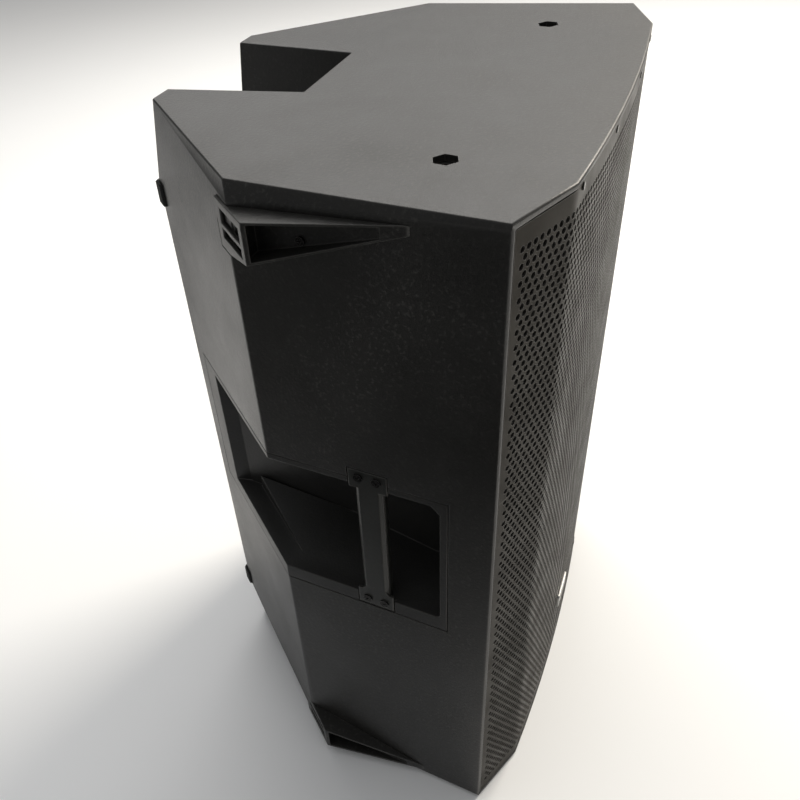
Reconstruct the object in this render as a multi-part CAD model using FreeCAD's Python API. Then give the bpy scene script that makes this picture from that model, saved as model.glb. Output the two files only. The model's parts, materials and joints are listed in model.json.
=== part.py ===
"""Two-way active loudspeaker cabinet with a moulded shell, built in millimetres.

+Z is up, the grille faces -Y and +X is on the right when the grille is looked at from in
front. Left and right in names are as seen from there, so the left side is at -X.
The origin lies on the floor under the middle of the cabinet. Depths are counted from the
front corner line, where the side walls meet the grille.
"""
import FreeCAD
import Part
import math
import os

os.makedirs("parts", exist_ok=True)
V = FreeCAD.Vector

# ---------------------------------------------------------------- overall sizes
cabinet_height = 700.0          # floor to top plate
foot_lift = 2.0                 # rubber feet stand this far below the shell
front_half_width = 241.3        # side wall at the front corner
rear_half_width = 227.0         # side wall where the rear chamfer begins
side_depth = 205.0              # front corner back to the rear chamfer
leg_depth = 354.8               # front corner back to the tips of the rear legs
leg_half_width = 94.5           # outer edge of each rear leg
notch_mouth_half = 67.0         # rear recess, half width at its mouth
notch_floor_half = 52.0         # rear recess, half width at its floor
notch_floor_depth = 221.5       # front corner back to the floor of the recess
bend_half_width = 175.2         # where the grille's flank meets its curved centre
bend_forward = 26.4             # how far that bend stands in front of the corner
bulge_forward = 34.2            # how far the grille's centre stands in front of it
wall = 5.0                      # moulded wall

# bevels that draw the top and bottom plates in
bevel_inset_front = 2.3
bevel_inset_side = 5.7
bevel_drop_side = 13.0
bevel_inset_leg = 9.3
bevel_drop_leg = 72.0
front_edge_chamfer = 1.0

# ---------------------------------------------------------------- clearances
fit = 0.5                       # dropped-in panels and cups
skin = 0.3                      # curved faces that lie on each other
screw_fit = 0.25                # screw shank in its hole
shaft_fit = 0.08                # turning shaft in its bush

# ---------------------------------------------------------------- front panel and grille
baffle_depth = 14.0             # front face of the baffle behind the corner line
baffle_thick = 10.0
ledge_wide = 16.0               # shell ledge behind the baffle
ledge_thick = 4.0
rail_high = 12.0                # baffle rails that carry the grille
rail_side = 4.8
grille_thick = 1.2
grille_recess = 0.8             # grille lies this far inside the rim
grille_gap = 1.0
foam_thick = 3.0
badge_wide = 44.0
badge_high = 20.0
badge_thick = 1.6
badge_height = 98.0             # badge centre above the floor
badge_corner_r = 3.0
grille_screw_r = 2.8            # head
grille_screw_edge = 3.2         # screw centre to the sheet's top or bottom edge
grille_screw_x = (60.0, 159.5)

# ---------------------------------------------------------------- low driver
woofer_z = 225.0
woofer_frame_r = 194.0
woofer_cutout_r = 177.0
woofer_flange = 6.0
surround_in_r = 150.0
surround_roll = 8.0
surround_lip = 10.0
coil_r = 38.0
cone_neck_depth = 74.0
spider_depth = 84.0
spider_out_r = 88.0
magnet_depth = 108.0            # baffle front back to the top plate
top_plate_thick = 10.0
top_plate_r = 78.0
magnet_r = 86.0
magnet_thick = 24.0
yoke_thick = 9.0
dust_cap_r = 54.0

# ---------------------------------------------------------------- high driver
horn_z = 548.0
horn_wide = 320.0
horn_high = 184.0
horn_flange = 6.0
horn_length = 96.0
horn_wall = 4.0
throat_r = 18.0
driver_r = 55.0
driver_long = 34.0
driver_cap_r = 47.0
driver_cap_long = 15.0
driver_bolt_r = 38.0

# ---------------------------------------------------------------- ports
port_x = 181.0
port_z = 64.0
port_r = 31.0
port_wall = 3.0
port_long = 110.0
port_lip = 3.0

# ---------------------------------------------------------------- handles
cup_low = 304.0
cup_high = 446.0
cup_front = 45.0                # along the side wall
cup_rear = 142.0                # along the rear chamfer
cup_deep = 79.5
cup_wall = 3.0
cup_ledge = 20.0
cup_floor_rise = 14.0
mouth_top_corner = 9.0          # filled corners at the front of the cup's mouth
mouth_low_corner = 4.0
flange_thick = 2.5
flange_low = 16.0
flange_top = 6.0
flange_front = 7.0
flange_rear = 32.0
bar_front = 95.4
bar_wide = 26.6
bar_thick = 14.0
bar_bevel = 4.0
web_reach = 10.0                # webs between the bar and its lower plate
plate_wide = 36.0
plate_high = 16.5
plate_thick = 3.0
plate_gap = 0.8                 # gap left round each plate
handle_screw_r = 4.3

# ---------------------------------------------------------------- wedge feet and bumpers
wedge_reach = 36.0              # how far it stretches the rear chamfer outwards
wedge_overlap = 18.0            # how far its end frame lies on the chamfer
wedge_top_drop = 17.0           # below the top plate, at the rear end
wedge_high = 39.0
wedge_tip_front = 64.0          # where the wedge runs out, behind the front corner
wedge_tip_drop = 10.4
wedge_tip_high = 7.6
wedge_skin = 2.0
wedge_floor = 2.2               # web lying on the side wall
wedge_rib = 3.0
wedge_end = 3.0
wedge_pocket_start = 20.0       # tip back to the front pocket
wedge_rib_back = 26.0           # rib in front of the side wall's rear edge
wedge_window_rim = 6.0
wedge_window_bar = 4.0
bumper_high = 21.0
bumper_thick = 3.0
bumper_leg = 13.0

# ---------------------------------------------------------------- fly points and pole socket
fly_x = 159.5
fly_depth = 65.5
fly_across = 17.2
fly_turn = 20.0
fly_thread_r = 5.0
pole_depth = 122.0
pole_r = 18.0
pole_long = 84.0
pole_wall = 5.0
foot_r = 15.0
foot_places = ((185.0, 50.0), (108.0, 268.0))

# ---------------------------------------------------------------- rear panel
panel_low = 165.0
panel_high = 645.0
panel_half = 48.5
panel_thick = 2.5
panel_lap = 9.0                 # panel edge that lies on the shell
knob_r = 8.5
knob_high = 13.0
rocker_wide = 13.0
rocker_high = 21.0
rocker_tilt = 7.0               # each side of level
button_r = 4.0
fin_high = 15.0
fin_thick = 2.2
fin_count = 9

# ---------------------------------------------------------------- derived places
front_extent = bulge_forward + badge_thick
rear_extent = leg_depth + bumper_thick
corner_y = -(rear_extent - front_extent) / 2.0
shell_low = foot_lift
shell_high = cabinet_height
mid_z = (shell_low + shell_high) / 2.0


def yy(depth):
    """Y of a place given by its depth behind the front corner line."""
    return corner_y + depth


corner_a = V(-front_half_width, yy(0.0), 0)
corner_b = V(-bend_half_width, yy(-bend_forward), 0)
corner_l = V(-rear_half_width, yy(side_depth), 0)
corner_k = V(-leg_half_width, yy(leg_depth), 0)
corner_j = V(-notch_mouth_half, yy(leg_depth), 0)
corner_i = V(-notch_floor_half, yy(notch_floor_depth), 0)
front_mid = V(0, yy(-bulge_forward), 0)


# ---------------------------------------------------------------- helpers
def flip(point):
    """The same point on the other side of the cabinet."""
    return V(-point.x, point.y, point.z)


def lift(point, height):
    """A plan point raised to a height."""
    return V(point.x, point.y, height)


def prism(points, low, high):
    """Upright solid on a plan polygon."""
    loop = [lift(p, low) for p in points]
    face = Part.Face(Part.makePolygon(loop + [loop[0]]))
    return face.extrude(V(0, 0, high - low))


def box(x0, x1, y0, y1, z0, z1):
    """Box between two corners."""
    return Part.makeBox(x1 - x0, y1 - y0, z1 - z0, V(x0, y0, z0))


def rod_y(radius, x, z, y0, y1):
    """Cylinder along Y."""
    return Part.makeCylinder(radius, y1 - y0, V(x, y0, z), V(0, 1, 0))


def rod_z(radius, x, y, z0, z1):
    """Upright cylinder."""
    return Part.makeCylinder(radius, z1 - z0, V(x, y, z0), V(0, 0, 1))


def turn_y(profile, x, z):
    """Solid of revolution about a line along Y; profile holds (radius, y) pairs."""
    loop = [V(x + r, y, z) for r, y in profile]
    face = Part.Face(Part.makePolygon(loop + [loop[0]]))
    return face.revolve(V(x, 0, z), V(0, 1, 0), 360)


def mirror_side(shape):
    """Copy on the other side of the cabinet."""
    return shape.mirror(V(0, 0, 0), V(1, 0, 0))


def mirror_up(shape):
    """Copy at the other end of the cabinet, top to bottom."""
    return shape.mirror(V(0, 0, mid_z), V(0, 0, 1))


def beyond(point, normal):
    """Everything on the outer side of a plane."""
    block = Part.makeBox(2400, 2400, 700, V(-1200, -1200, 0))
    block.Placement = FreeCAD.Placement(point, FreeCAD.Rotation(V(0, 0, 1), normal))
    return block


def plane_normal(p, q, r, towards):
    """Unit normal of the plane through three points, on the side of a direction."""
    normal = (q - p).cross(r - p)
    normal.normalize()
    if normal.dot(towards) < 0:
        normal = normal * -1.0
    return normal


def local_frame(start, end):
    """Placement whose x runs from start to end in plan and whose y points outwards."""
    angle = math.degrees(math.atan2(end.y - start.y, end.x - start.x))
    return FreeCAD.Placement(start, FreeCAD.Rotation(V(0, 0, 1), angle))


side_frame = local_frame(corner_a, corner_l)
rear_frame = local_frame(corner_l, corner_k)
inward = side_frame.Rotation.multVec(V(0, -1, 0))
side_length = (corner_l - corner_a).Length
rear_length = (corner_k - corner_l).Length


def on_side(u, w, z=0.0):
    """Point on the near side wall: u back from the front corner, w outwards."""
    return side_frame.multVec(V(u, w, z))


def on_rear(s, w, z=0.0):
    """Point on the rear chamfer: s back from its front edge, w outwards."""
    return rear_frame.multVec(V(s, w, z))


def side_box(u0, u1, w0, w1, z0, z1):
    """Box squared to the side wall."""
    block = box(u0, u1, w0, w1, z0, z1)
    block.Placement = side_frame.multiply(block.Placement)
    return block


def rear_box(s0, s1, w0, w1, z0, z1):
    """Box squared to the rear chamfer."""
    block = box(s0, s1, w0, w1, z0, z1)
    block.Placement = rear_frame.multiply(block.Placement)
    return block


def inset_point(before, here, after, amount):
    """Corner of a plan polygon moved inwards from both of its edges."""
    first = here - before
    second = after - here
    first.normalize()
    second.normalize()
    n1 = V(first.y, -first.x, 0)
    n2 = V(second.y, -second.x, 0)
    bisector = n1 + n2
    scale = 2.0 * amount / bisector.dot(bisector)
    return here + bisector * scale


def merge(shapes):
    """One solid from several that touch or overlap."""
    result = shapes[0]
    if len(shapes) > 1:
        result = result.fuse(shapes[1:])
    return result.removeSplitter()


def group(shapes):
    """Several loose solids kept in one node."""
    return Part.makeCompound(shapes)


def save(name, shape):
    """Write one node."""
    shape.exportStep("parts/" + name + ".step")


def screw(place, direction, head_r, head_high, shank_r, shank_long):
    """Pan-head screw with a cross recess; place is under the head, direction goes in."""
    axis = V(direction)
    axis.normalize()
    head = Part.makeCylinder(head_r, head_high, place, axis * -1.0)
    shank = Part.makeCylinder(shank_r, shank_long, place, axis)
    body = head.fuse(shank)
    turn = FreeCAD.Rotation(V(0, 0, -1), axis)
    depth = 0.55 * head_high
    for half_x, half_y in ((0.55 * head_r, 0.12 * head_r), (0.12 * head_r, 0.55 * head_r)):
        slot = Part.makeBox(2 * half_x, 2 * half_y, depth, V(-half_x, -half_y, head_high - depth))
        slot.Placement = FreeCAD.Placement(place, turn)
        body = body.cut(slot)
    return body


def hole(place, direction, radius, length):
    """Round cutter from a place along a direction."""
    axis = V(direction)
    axis.normalize()
    return Part.makeCylinder(radius, length, place, axis)


# ---------------------------------------------------------------- shell
# The shell is one moulding: a prism on the cabinet's plan, drawn in by bevels round the top
# and bottom plates, hollow, and open at the front behind the grille.
def outer_prism():
    """Full-height prism on the cabinet's outline, with its front edges chamfered."""
    a, b = corner_a, corner_b
    left = [corner_l, corner_k, corner_j, corner_i]
    points = [flip(b), flip(a)] + [flip(p) for p in left]
    points += list(reversed(left)) + [a, b]
    edges = [Part.LineSegment(points[n], points[n + 1]).toShape() for n in range(len(points) - 1)]
    edges.append(Part.Arc(b, front_mid, flip(b)).toShape())
    face = Part.Face(Part.Wire(edges))
    face.translate(V(0, 0, shell_low))
    solid = face.extrude(V(0, 0, shell_high - shell_low))
    front = []
    for edge in solid.Edges:
        bounds = edge.BoundBox
        flat = bounds.ZLength < 0.01
        ahead = bounds.YMax < yy(0.01)
        if flat and ahead:
            front.append(edge)
    return solid.makeChamfer(front_edge_chamfer, front)


top_a = on_side(0, -bevel_inset_front)
top_l = V(-(rear_half_width - bevel_inset_side), corner_l.y, 0)
leg_shift = on_rear(rear_length, -bevel_inset_leg)
side_normal = plane_normal(
    lift(top_a, shell_high), lift(top_l, shell_high),
    lift(corner_l, shell_high - bevel_drop_side), V(-1, 0, 0))
rear_normal = plane_normal(
    lift(top_l, shell_high), lift(leg_shift, shell_high),
    lift(corner_k, shell_high - bevel_drop_leg), V(-1, 1, 0))
tip_normal = V(0, bevel_drop_leg, bevel_inset_leg)
tip_normal.normalize()
bevel_planes = [
    (lift(top_a, shell_high), side_normal),
    (lift(top_l, shell_high), rear_normal),
    (V(0, yy(leg_depth), shell_high - bevel_drop_leg), tip_normal),
]


def bevel_cut(shape, inwards):
    """Take the bevels off all four ends of the cabinet, moved inwards by an amount."""
    cutters = []
    for point, normal in bevel_planes:
        cutter = beyond(point - normal * inwards, normal)
        for piece in (cutter, mirror_side(cutter)):
            cutters.append(piece)
            cutters.append(mirror_up(piece))
    return shape.cut(cutters)


def cavity():
    """Inside of the shell, open at the front."""
    forward = -bulge_forward - 40.0
    span = (corner_l - corner_a)
    ahead = corner_a + span * (forward / side_depth)
    loop = [ahead, corner_l, corner_k, corner_j, corner_i, flip(corner_i)]
    inner = []
    side_in = side_frame.Rotation.multVec(V(0, -wall, 0))
    inner.append(ahead + side_in)
    for n in range(1, 5):
        inner.append(inset_point(loop[n - 1], loop[n], loop[n + 1], wall))
    points = inner + [flip(p) for p in reversed(inner)]
    solid = prism(points, shell_low + wall, shell_high - wall)
    return bevel_cut(solid, wall)


cup_void_plan = [
    on_side(cup_front, 4), on_side(side_length + 4, 4), on_rear(cup_rear, 4),
    on_rear(cup_rear, 0), on_rear(cup_rear - 11, -13), on_side(172, -cup_deep),
    on_side(cup_front + 17, -cup_deep + 16), on_side(cup_front + 3, -24),
    on_side(cup_front, -8)]
cup_body_plan = [
    on_side(cup_front - cup_wall, 0), on_side(side_length, 0), on_rear(cup_rear + cup_wall, 0),
    on_rear(cup_rear + cup_wall, -2), on_rear(cup_rear - 9, -13 - cup_wall),
    on_side(172 + cup_wall, -cup_deep - cup_wall),
    on_side(cup_front + 17 - cup_wall, -cup_deep + 16 - cup_wall),
    on_side(cup_front - cup_wall, -24)]


def skin_band(z0, z1, u0, s1, inner, outer=0.0):
    """Band on the side wall from u0 back to the corner and on along the chamfer to s1."""
    points = [
        on_side(u0, outer), on_side(side_length, outer), on_rear(0, outer), on_rear(s1, outer),
        on_rear(s1, -inner), inset_point(corner_a, corner_l, corner_k, inner), on_side(u0, -inner)]
    if outer <= 0.001:
        points.pop(2)
    return prism(points, z0, z1)


flange_z0 = cup_low - flange_low
flange_z1 = cup_high + flange_top
plate_mid = bar_front + bar_wide / 2.0
plate_u0 = plate_mid - plate_wide / 2.0
plate_u1 = plate_mid + plate_wide / 2.0
plate_low_z = cup_low - plate_high + 2.0
screw_half = 8.4
handle_screw_spots = []
for screw_z in (cup_high + 0.52 * plate_high, cup_low - 0.4 * plate_high):
    for side_step in (-screw_half, screw_half):
        handle_screw_spots.append((plate_mid + side_step, screw_z))

wedge_z1 = shell_high - wedge_top_drop
wedge_z0 = wedge_z1 - wedge_high
wedge_screw_spots = [(side_length - 62.0, wedge_z1 - 15.5), (side_length - 16.5, wedge_z1 - 19.0)]

baffle_half = front_half_width - wall - fit
baffle_screw_x = 225.0
baffle_screw_z = (120.0, 300.0, 450.0, 640.0)
baffle_spots = [(sign * baffle_screw_x, z) for z in baffle_screw_z for sign in (-1, 1)]
ledge_y0 = yy(baffle_depth + baffle_thick)
pole_y = yy(pole_depth)
foot_spots = [(sign * x, yy(depth)) for x, depth in foot_places for sign in (-1, 1)]
fly_spots = [(-fly_x, yy(fly_depth)), (fly_x, yy(fly_depth))]
panel_y = yy(notch_floor_depth)
panel_screw_x = panel_half - 4.5
panel_screw_z = [panel_low + 8.0 + n * (panel_high - panel_low - 16.0) / 3.0 for n in range(4)]
panel_spots = [(sign * panel_screw_x, z) for z in panel_screw_z for sign in (-1, 1)]
pole_screw_r = pole_r + pole_wall + 9.0
pole_screw_spots = []
for quarter in range(4):
    turn = math.radians(45 + 90 * quarter)
    spot = (pole_screw_r * math.cos(turn), pole_y + pole_screw_r * math.sin(turn))
    pole_screw_spots.append(spot)


def hexagon(across, x, y, z0, z1, turn):
    """Upright hexagonal prism by its width across flats."""
    radius = across / math.sqrt(3.0)
    points = []
    for n in range(6):
        angle = math.radians(turn + 60 * n)
        points.append(V(x + radius * math.cos(angle), y + radius * math.sin(angle), 0))
    return prism(points, z0, z1)


def plate_seats():
    """Seats of the grab bar's two end plates, sunk in the cup's flange."""
    low = side_box(plate_u0 - plate_gap, plate_u1 + plate_gap, -plate_thick, 3,
                   plate_low_z - plate_gap, cup_low + 1)
    high = side_box(plate_u0 - plate_gap, plate_u1 + plate_gap, -plate_thick, 3,
                    cup_high - 1, cup_high + plate_high + plate_gap)
    return [low, high]


def build_shell():
    """Moulded shell with every seat, boss and opening that other pieces need."""
    shell = bevel_cut(outer_prism(), 0.0).cut(cavity())
    inner_half = front_half_width - wall
    extra = []
    for sign in (-1, 1):
        x0, x1 = sorted((sign * (inner_half - ledge_wide), sign * (inner_half + 0.5)))
        strip = box(x0, x1, ledge_y0, ledge_y0 + ledge_thick, shell_low + wall, shell_high - wall)
        extra.append(strip)
    for x, z in baffle_spots:
        extra.append(rod_y(5.0, x, z, ledge_y0, ledge_y0 + 14.0))
    low_ledge = box(-inner_half, inner_half, ledge_y0, ledge_y0 + ledge_thick,
                    shell_low + wall - 0.5, shell_low + wall + 9)
    extra += [low_ledge, mirror_up(low_ledge)]
    for u, z in handle_screw_spots:
        boss = side_box(u - 5, u + 5, -14, -wall + 1, z - 5, z + 5)
        extra.append(boss)
        extra.append(mirror_side(boss))
    for u, z in wedge_screw_spots:
        boss = side_box(u - 5, u + 5, -14, -wall + 1, z - 5, z + 5)
        for piece in (boss, mirror_side(boss)):
            extra.append(piece)
            extra.append(mirror_up(piece))
    for x, y in fly_spots:
        extra.append(rod_z(17.0, x, y, shell_high - wall - 22.0, shell_high - wall + 1))
    for x, z in panel_spots:
        extra.append(box(x - 4, x + 4, panel_y - 12, panel_y - wall + 1, z - 5, z + 5))
    shell = merge([shell] + extra)

    cutters = []
    cup_open = prism(cup_body_plan, cup_low - cup_wall - fit, cup_high + cup_wall + fit)
    grown = cup_open.makeOffsetShape(fit, 0.01, join=2)
    seat = skin_band(flange_z0 - fit, flange_z1 + fit, cup_front - flange_front - fit,
                     cup_rear + flange_rear + fit, flange_thick, 2.0)
    cutters += [grown, seat]
    cutters += plate_seats()
    for u, z in handle_screw_spots:
        cutters.append(hole(on_side(u, 2, z), inward, 1.8 + screw_fit, 14.5))
    for piece in list(cutters):
        cutters.append(mirror_side(piece))
    ends = [rear_box(-30, wedge_overlap + 0.3, -wedge_end, 4, wedge_z0 - 0.3, wedge_z1 + 0.3)]
    for u, z in wedge_screw_spots:
        ends.append(hole(on_side(u, 2, z), inward, 1.8 + screw_fit, 14.5))
    for piece in ends:
        for copy in (piece, mirror_side(piece)):
            cutters.append(copy)
            cutters.append(mirror_up(copy))
    for x, z in baffle_spots:
        cutters.append(rod_y(2.0 + screw_fit, x, z, ledge_y0 - 1, ledge_y0 + 12.5))
    for x, y in fly_spots:
        cutters.append(hexagon(fly_across, x, y, shell_high - wall, shell_high + 1, fly_turn))
        cutters.append(rod_z(11.0 + skin, x, y, shell_high - wall - 23, shell_high - wall + 0.01))
    for x, y in foot_spots:
        cutters.append(rod_z(4.0 + skin, x, y, shell_low - 1, shell_low + wall + 1))
    cutters.append(rod_z(pole_r + pole_wall + fit, 0, pole_y, shell_low - 1, shell_low + wall + 1))
    for x, y in pole_screw_spots:
        cutters.append(rod_z(2.0 + screw_fit, x, y, shell_low - 1, shell_low + wall + 1))
    half = panel_half - panel_lap
    cutters.append(box(-half, half, panel_y - wall - 8, panel_y + 1,
                       panel_low + panel_lap, panel_high - panel_lap))
    for x, z in panel_spots:
        cutters.append(rod_y(1.6 + screw_fit, x, z, panel_y - 10.5, panel_y + 1))
    return shell.cut(cutters)


shell = build_shell()
save("cabinet_shell", shell)


# ---------------------------------------------------------------- baffle
# Moulded front panel. It drops in against the shell's ledge and its rails carry the grille.
def front_path(inwards, half):
    """Plan points and arc of the front outline moved inwards, cut off at a half width."""
    a, b, m = corner_a, corner_b, front_mid
    span = b - a
    span.normalize()
    normal = V(-span.y, span.x, 0)
    if normal.y < 0:
        normal = normal * -1.0
    a2 = a + normal * inwards
    start = a2 + span * ((-half - a2.x) / span.x)
    sag = bulge_forward - bend_forward
    radius = (bend_half_width ** 2 + sag ** 2) / (2 * sag)
    centre_y = m.y + radius
    inner_r = radius - inwards
    low, high = 0.0, 2.0 * (b - a).Length
    for step in range(60):
        middle = (low + high) / 2
        p = a2 + span * middle
        if math.hypot(p.x, p.y - centre_y) < inner_r:
            low = middle
        else:
            high = middle
    bend = a2 + span * low
    top = V(0, centre_y - inner_r, 0)
    return start, bend, top


def front_slab(inwards, thick, half, z0, z1):
    """Sheet that follows the front outline, a thickness deep."""
    s1, b1, t1 = front_path(inwards, half)
    s2, b2, t2 = front_path(inwards + thick, half)
    edges = [
        Part.LineSegment(s1, b1).toShape(), Part.Arc(b1, t1, flip(b1)).toShape(),
        Part.LineSegment(flip(b1), flip(s1)).toShape(), Part.LineSegment(flip(s1), flip(s2)).toShape(),
        Part.LineSegment(flip(s2), flip(b2)).toShape(), Part.Arc(flip(b2), t2, b2).toShape(),
        Part.LineSegment(b2, s2).toShape(), Part.LineSegment(s2, s1).toShape()]
    face = Part.Face(Part.Wire(edges))
    face.translate(V(0, 0, z0))
    return face.extrude(V(0, 0, z1 - z0))


def front_block(inwards, depth, half, z0, z1):
    """Block from the front outline back to a flat depth."""
    s1, b1, t1 = front_path(inwards, half)
    back = yy(depth)
    edges = [
        Part.LineSegment(s1, b1).toShape(), Part.Arc(b1, t1, flip(b1)).toShape(),
        Part.LineSegment(flip(b1), flip(s1)).toShape(),
        Part.LineSegment(flip(s1), V(half, back, 0)).toShape(),
        Part.LineSegment(V(half, back, 0), V(-half, back, 0)).toShape(),
        Part.LineSegment(V(-half, back, 0), s1).toShape()]
    face = Part.Face(Part.Wire(edges))
    face.translate(V(0, 0, z0))
    return face.extrude(V(0, 0, z1 - z0))


baffle_y = yy(baffle_depth)
baffle_z0 = shell_low + wall + fit
baffle_z1 = shell_high - wall - fit
rail_half = baffle_half - 0.2
grille_half = front_half_width - wall - grille_gap
grille_z0 = shell_low + wall + grille_gap
grille_z1 = shell_high - wall - grille_gap
behind_grille = grille_recess + grille_thick + skin
grille_screw_z = [grille_z0 + grille_screw_edge, grille_z1 - grille_screw_edge]
grille_spots = [(sign * x, z) for z in grille_screw_z for x in grille_screw_x for sign in (-1, 1)]
horn_spots = []
for sx in (-1, 1):
    for sz in (-1, 1):
        horn_spots.append((sx * (horn_wide / 2 - 8), horn_z + sz * (horn_high / 2 - 8)))
woofer_spots = []
woofer_screw_r = (woofer_frame_r + woofer_cutout_r) / 2 + 1.0
for n in range(8):
    turn = math.radians(22.5 + 45 * n)
    woofer_spots.append((woofer_screw_r * math.cos(turn), woofer_z + woofer_screw_r * math.sin(turn)))
horn_open_wide = horn_wide - 34.0
horn_open_high = horn_high - 34.0


def build_baffle():
    """Front panel with its rails and openings."""
    back = baffle_y + baffle_thick
    side_slope = (front_half_width - rear_half_width) / side_depth
    half = baffle_half - side_slope * (baffle_depth + baffle_thick)
    plate = box(-half, half, baffle_y, back, baffle_z0, baffle_z1)
    low_rail = front_block(behind_grille, baffle_depth + 0.5, half, baffle_z0, baffle_z0 + rail_high)
    high_rail = front_block(behind_grille, baffle_depth + 0.5, half, baffle_z1 - rail_high, baffle_z1)
    rails = [low_rail, high_rail]
    for sign in (-1, 1):
        x0, x1 = sorted((sign * (half - rail_side), sign * half))
        full = front_block(behind_grille, baffle_depth + 0.5, half, baffle_z0, baffle_z1)
        keep = box(x0, x1, yy(-60), back, baffle_z0, baffle_z1)
        rails.append(full.common(keep))
    body = bevel_cut(merge([plate] + rails), wall + fit)
    cutters = [rod_y(woofer_cutout_r, 0, woofer_z, baffle_y - 1, back + 1)]
    cutters.append(box(-horn_open_wide / 2, horn_open_wide / 2, baffle_y - 1, back + 1,
                       horn_z - horn_open_high / 2, horn_z + horn_open_high / 2))
    for sign in (-1, 1):
        cutters.append(rod_y(port_r + port_wall + skin, sign * port_x, port_z, baffle_y - 1, back + 1))
    for x, z in baffle_spots:
        cutters.append(rod_y(2.0 + screw_fit, x, z, baffle_y - 1, back + 1))
    for x, z in horn_spots + woofer_spots:
        cutters.append(rod_y(2.0 + screw_fit, x, z, baffle_y - 1, baffle_y + 9))
    for x, z in grille_spots:
        cutters.append(rod_y(1.5 + screw_fit, x, z, yy(-60), yy(-bend_forward + 16)))
    return body.cut(cutters)


save("front_baffle", build_baffle())
baffle_screws = [screw(V(x, baffle_y, z), V(0, 1, 0), 4.2, 2.6, 2.0, baffle_thick + 11)
                 for x, z in baffle_spots]
save("baffle_screws", group(baffle_screws))


# ---------------------------------------------------------------- grille
# Steel sheet bent to the front outline, with a foam layer behind it, held by eight screws.
def surface_y(x, inwards):
    """Y of the front outline, moved inwards, at a place across the cabinet."""
    start, bend, top = front_path(inwards, grille_half)
    if abs(x) <= abs(bend.x):
        sag = bulge_forward - bend_forward
        radius = (bend_half_width ** 2 + sag ** 2) / (2 * sag)
        centre_y = front_mid.y + radius
        return centre_y - math.sqrt((radius - inwards) ** 2 - x * x)
    share = (abs(x) - abs(bend.x)) / (abs(start.x) - abs(bend.x))
    return bend.y + (start.y - bend.y) * share


grille = front_slab(grille_recess, grille_thick, grille_half, grille_z0, grille_z1)
grille_screws = []
for x, z in grille_spots:
    y = surface_y(abs(x), grille_recess)
    seat_y = min(y, surface_y(abs(x) - grille_screw_r, grille_recess))
    grille = grille.cut(rod_y(1.5 + screw_fit, x, z, y - 5, y + 8))
    grille_screws.append(screw(V(x, seat_y - 0.02, z), V(0, 1, 0), grille_screw_r, 0.75, 1.5, 12.0))
save("grille_sheet", grille)
save("grille_screws", group(grille_screws))
foam_half = rail_half - rail_side - 2.0
foam = front_slab(behind_grille, foam_thick, foam_half,
                  baffle_z0 + rail_high + 0.5, baffle_z1 - rail_high - 0.5)
save("grille_foam", foam)

badge_y = surface_y(badge_wide / 2, grille_recess)
badge = box(-badge_wide / 2, badge_wide / 2, front_mid.y - badge_thick, badge_y + 0.5,
            badge_height - badge_high / 2, badge_height + badge_high / 2)
behind_badge = front_block(grille_recess - skin, 0, grille_half, grille_z0, grille_z1)
badge = badge.cut(behind_badge)
corners = [edge for edge in badge.Edges
           if edge.BoundBox.YLength > 0.5 and max(edge.BoundBox.ZLength, edge.BoundBox.XLength) < 0.01]
save("front_badge", badge.makeFillet(badge_corner_r, corners))

# ---------------------------------------------------------------- low driver
# Fifteen-inch driver: cast frame, ferrite motor, paper cone on a foam roll and a cloth spider.
by = baffle_y
seat_in = surround_in_r + 2 * surround_roll
seat_out = seat_in + surround_lip + 2.0
rim_r = woofer_cutout_r - 1.5
ring = turn_y([(seat_out, by - woofer_flange), (woofer_frame_r, by - woofer_flange), (woofer_frame_r, by),
               (rim_r, by), (rim_r, by + 8), (seat_in, by + 8), (seat_in, by - 1), (seat_out, by - 1)],
              0, woofer_z)
land = by + spider_depth
basket = turn_y([(rim_r, by + 2), (rim_r, by + 8), (spider_out_r + 6, land + 2),
                 (spider_out_r + 6, by + magnet_depth), (coil_r + 12, by + magnet_depth),
                 (coil_r + 12, by + magnet_depth - 5), (spider_out_r, by + magnet_depth - 5),
                 (spider_out_r, land + 3), (spider_out_r - 7, land + 3), (spider_out_r - 7, land),
                 (spider_out_r + 1.5, land), (spider_out_r + 1.5, land - 5), (woofer_cutout_r - 8, by + 2)],
                0, woofer_z)
windows = []
for n in range(6):
    turn = math.radians(60 * n + 30)
    window = box(100, 160, by + 17, by + 79, woofer_z - 28, woofer_z + 28)
    window.rotate(V(0, 0, woofer_z), V(0, 1, 0), math.degrees(turn))
    windows.append(window)
woofer_frame = merge([ring, basket]).cut(windows)
frame_holes = [rod_y(2.0 + screw_fit, x, z, by - 20, by + 1) for x, z in woofer_spots]
woofer_frame = woofer_frame.cut(frame_holes)
save("woofer_frame", woofer_frame)
woofer_screws = [screw(V(x, by - woofer_flange, z), V(0, 1, 0), 4.2, 2.6, 2.0, 14.0)
                 for x, z in woofer_spots]
save("woofer_screws", group(woofer_screws))

tp = by + magnet_depth
gap_r = coil_r + 3.2
mg = tp + top_plate_thick
yk = mg + magnet_thick
top_plate = turn_y([(gap_r, tp), (top_plate_r, tp), (top_plate_r, mg), (gap_r, mg)], 0, woofer_z)
save("woofer_top_plate", top_plate)
magnet = turn_y([(coil_r + 9, mg), (magnet_r, mg), (magnet_r, yk), (coil_r + 9, yk)], 0, woofer_z)
save("woofer_magnet", magnet)
pole_piece_r = coil_r - 1.4
yoke = turn_y([(9, tp - 2), (pole_piece_r, tp - 2), (pole_piece_r, yk), (top_plate_r, yk),
               (top_plate_r, yk + yoke_thick), (9, yk + yoke_thick)], 0, woofer_z)
save("woofer_yoke", yoke)

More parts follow.
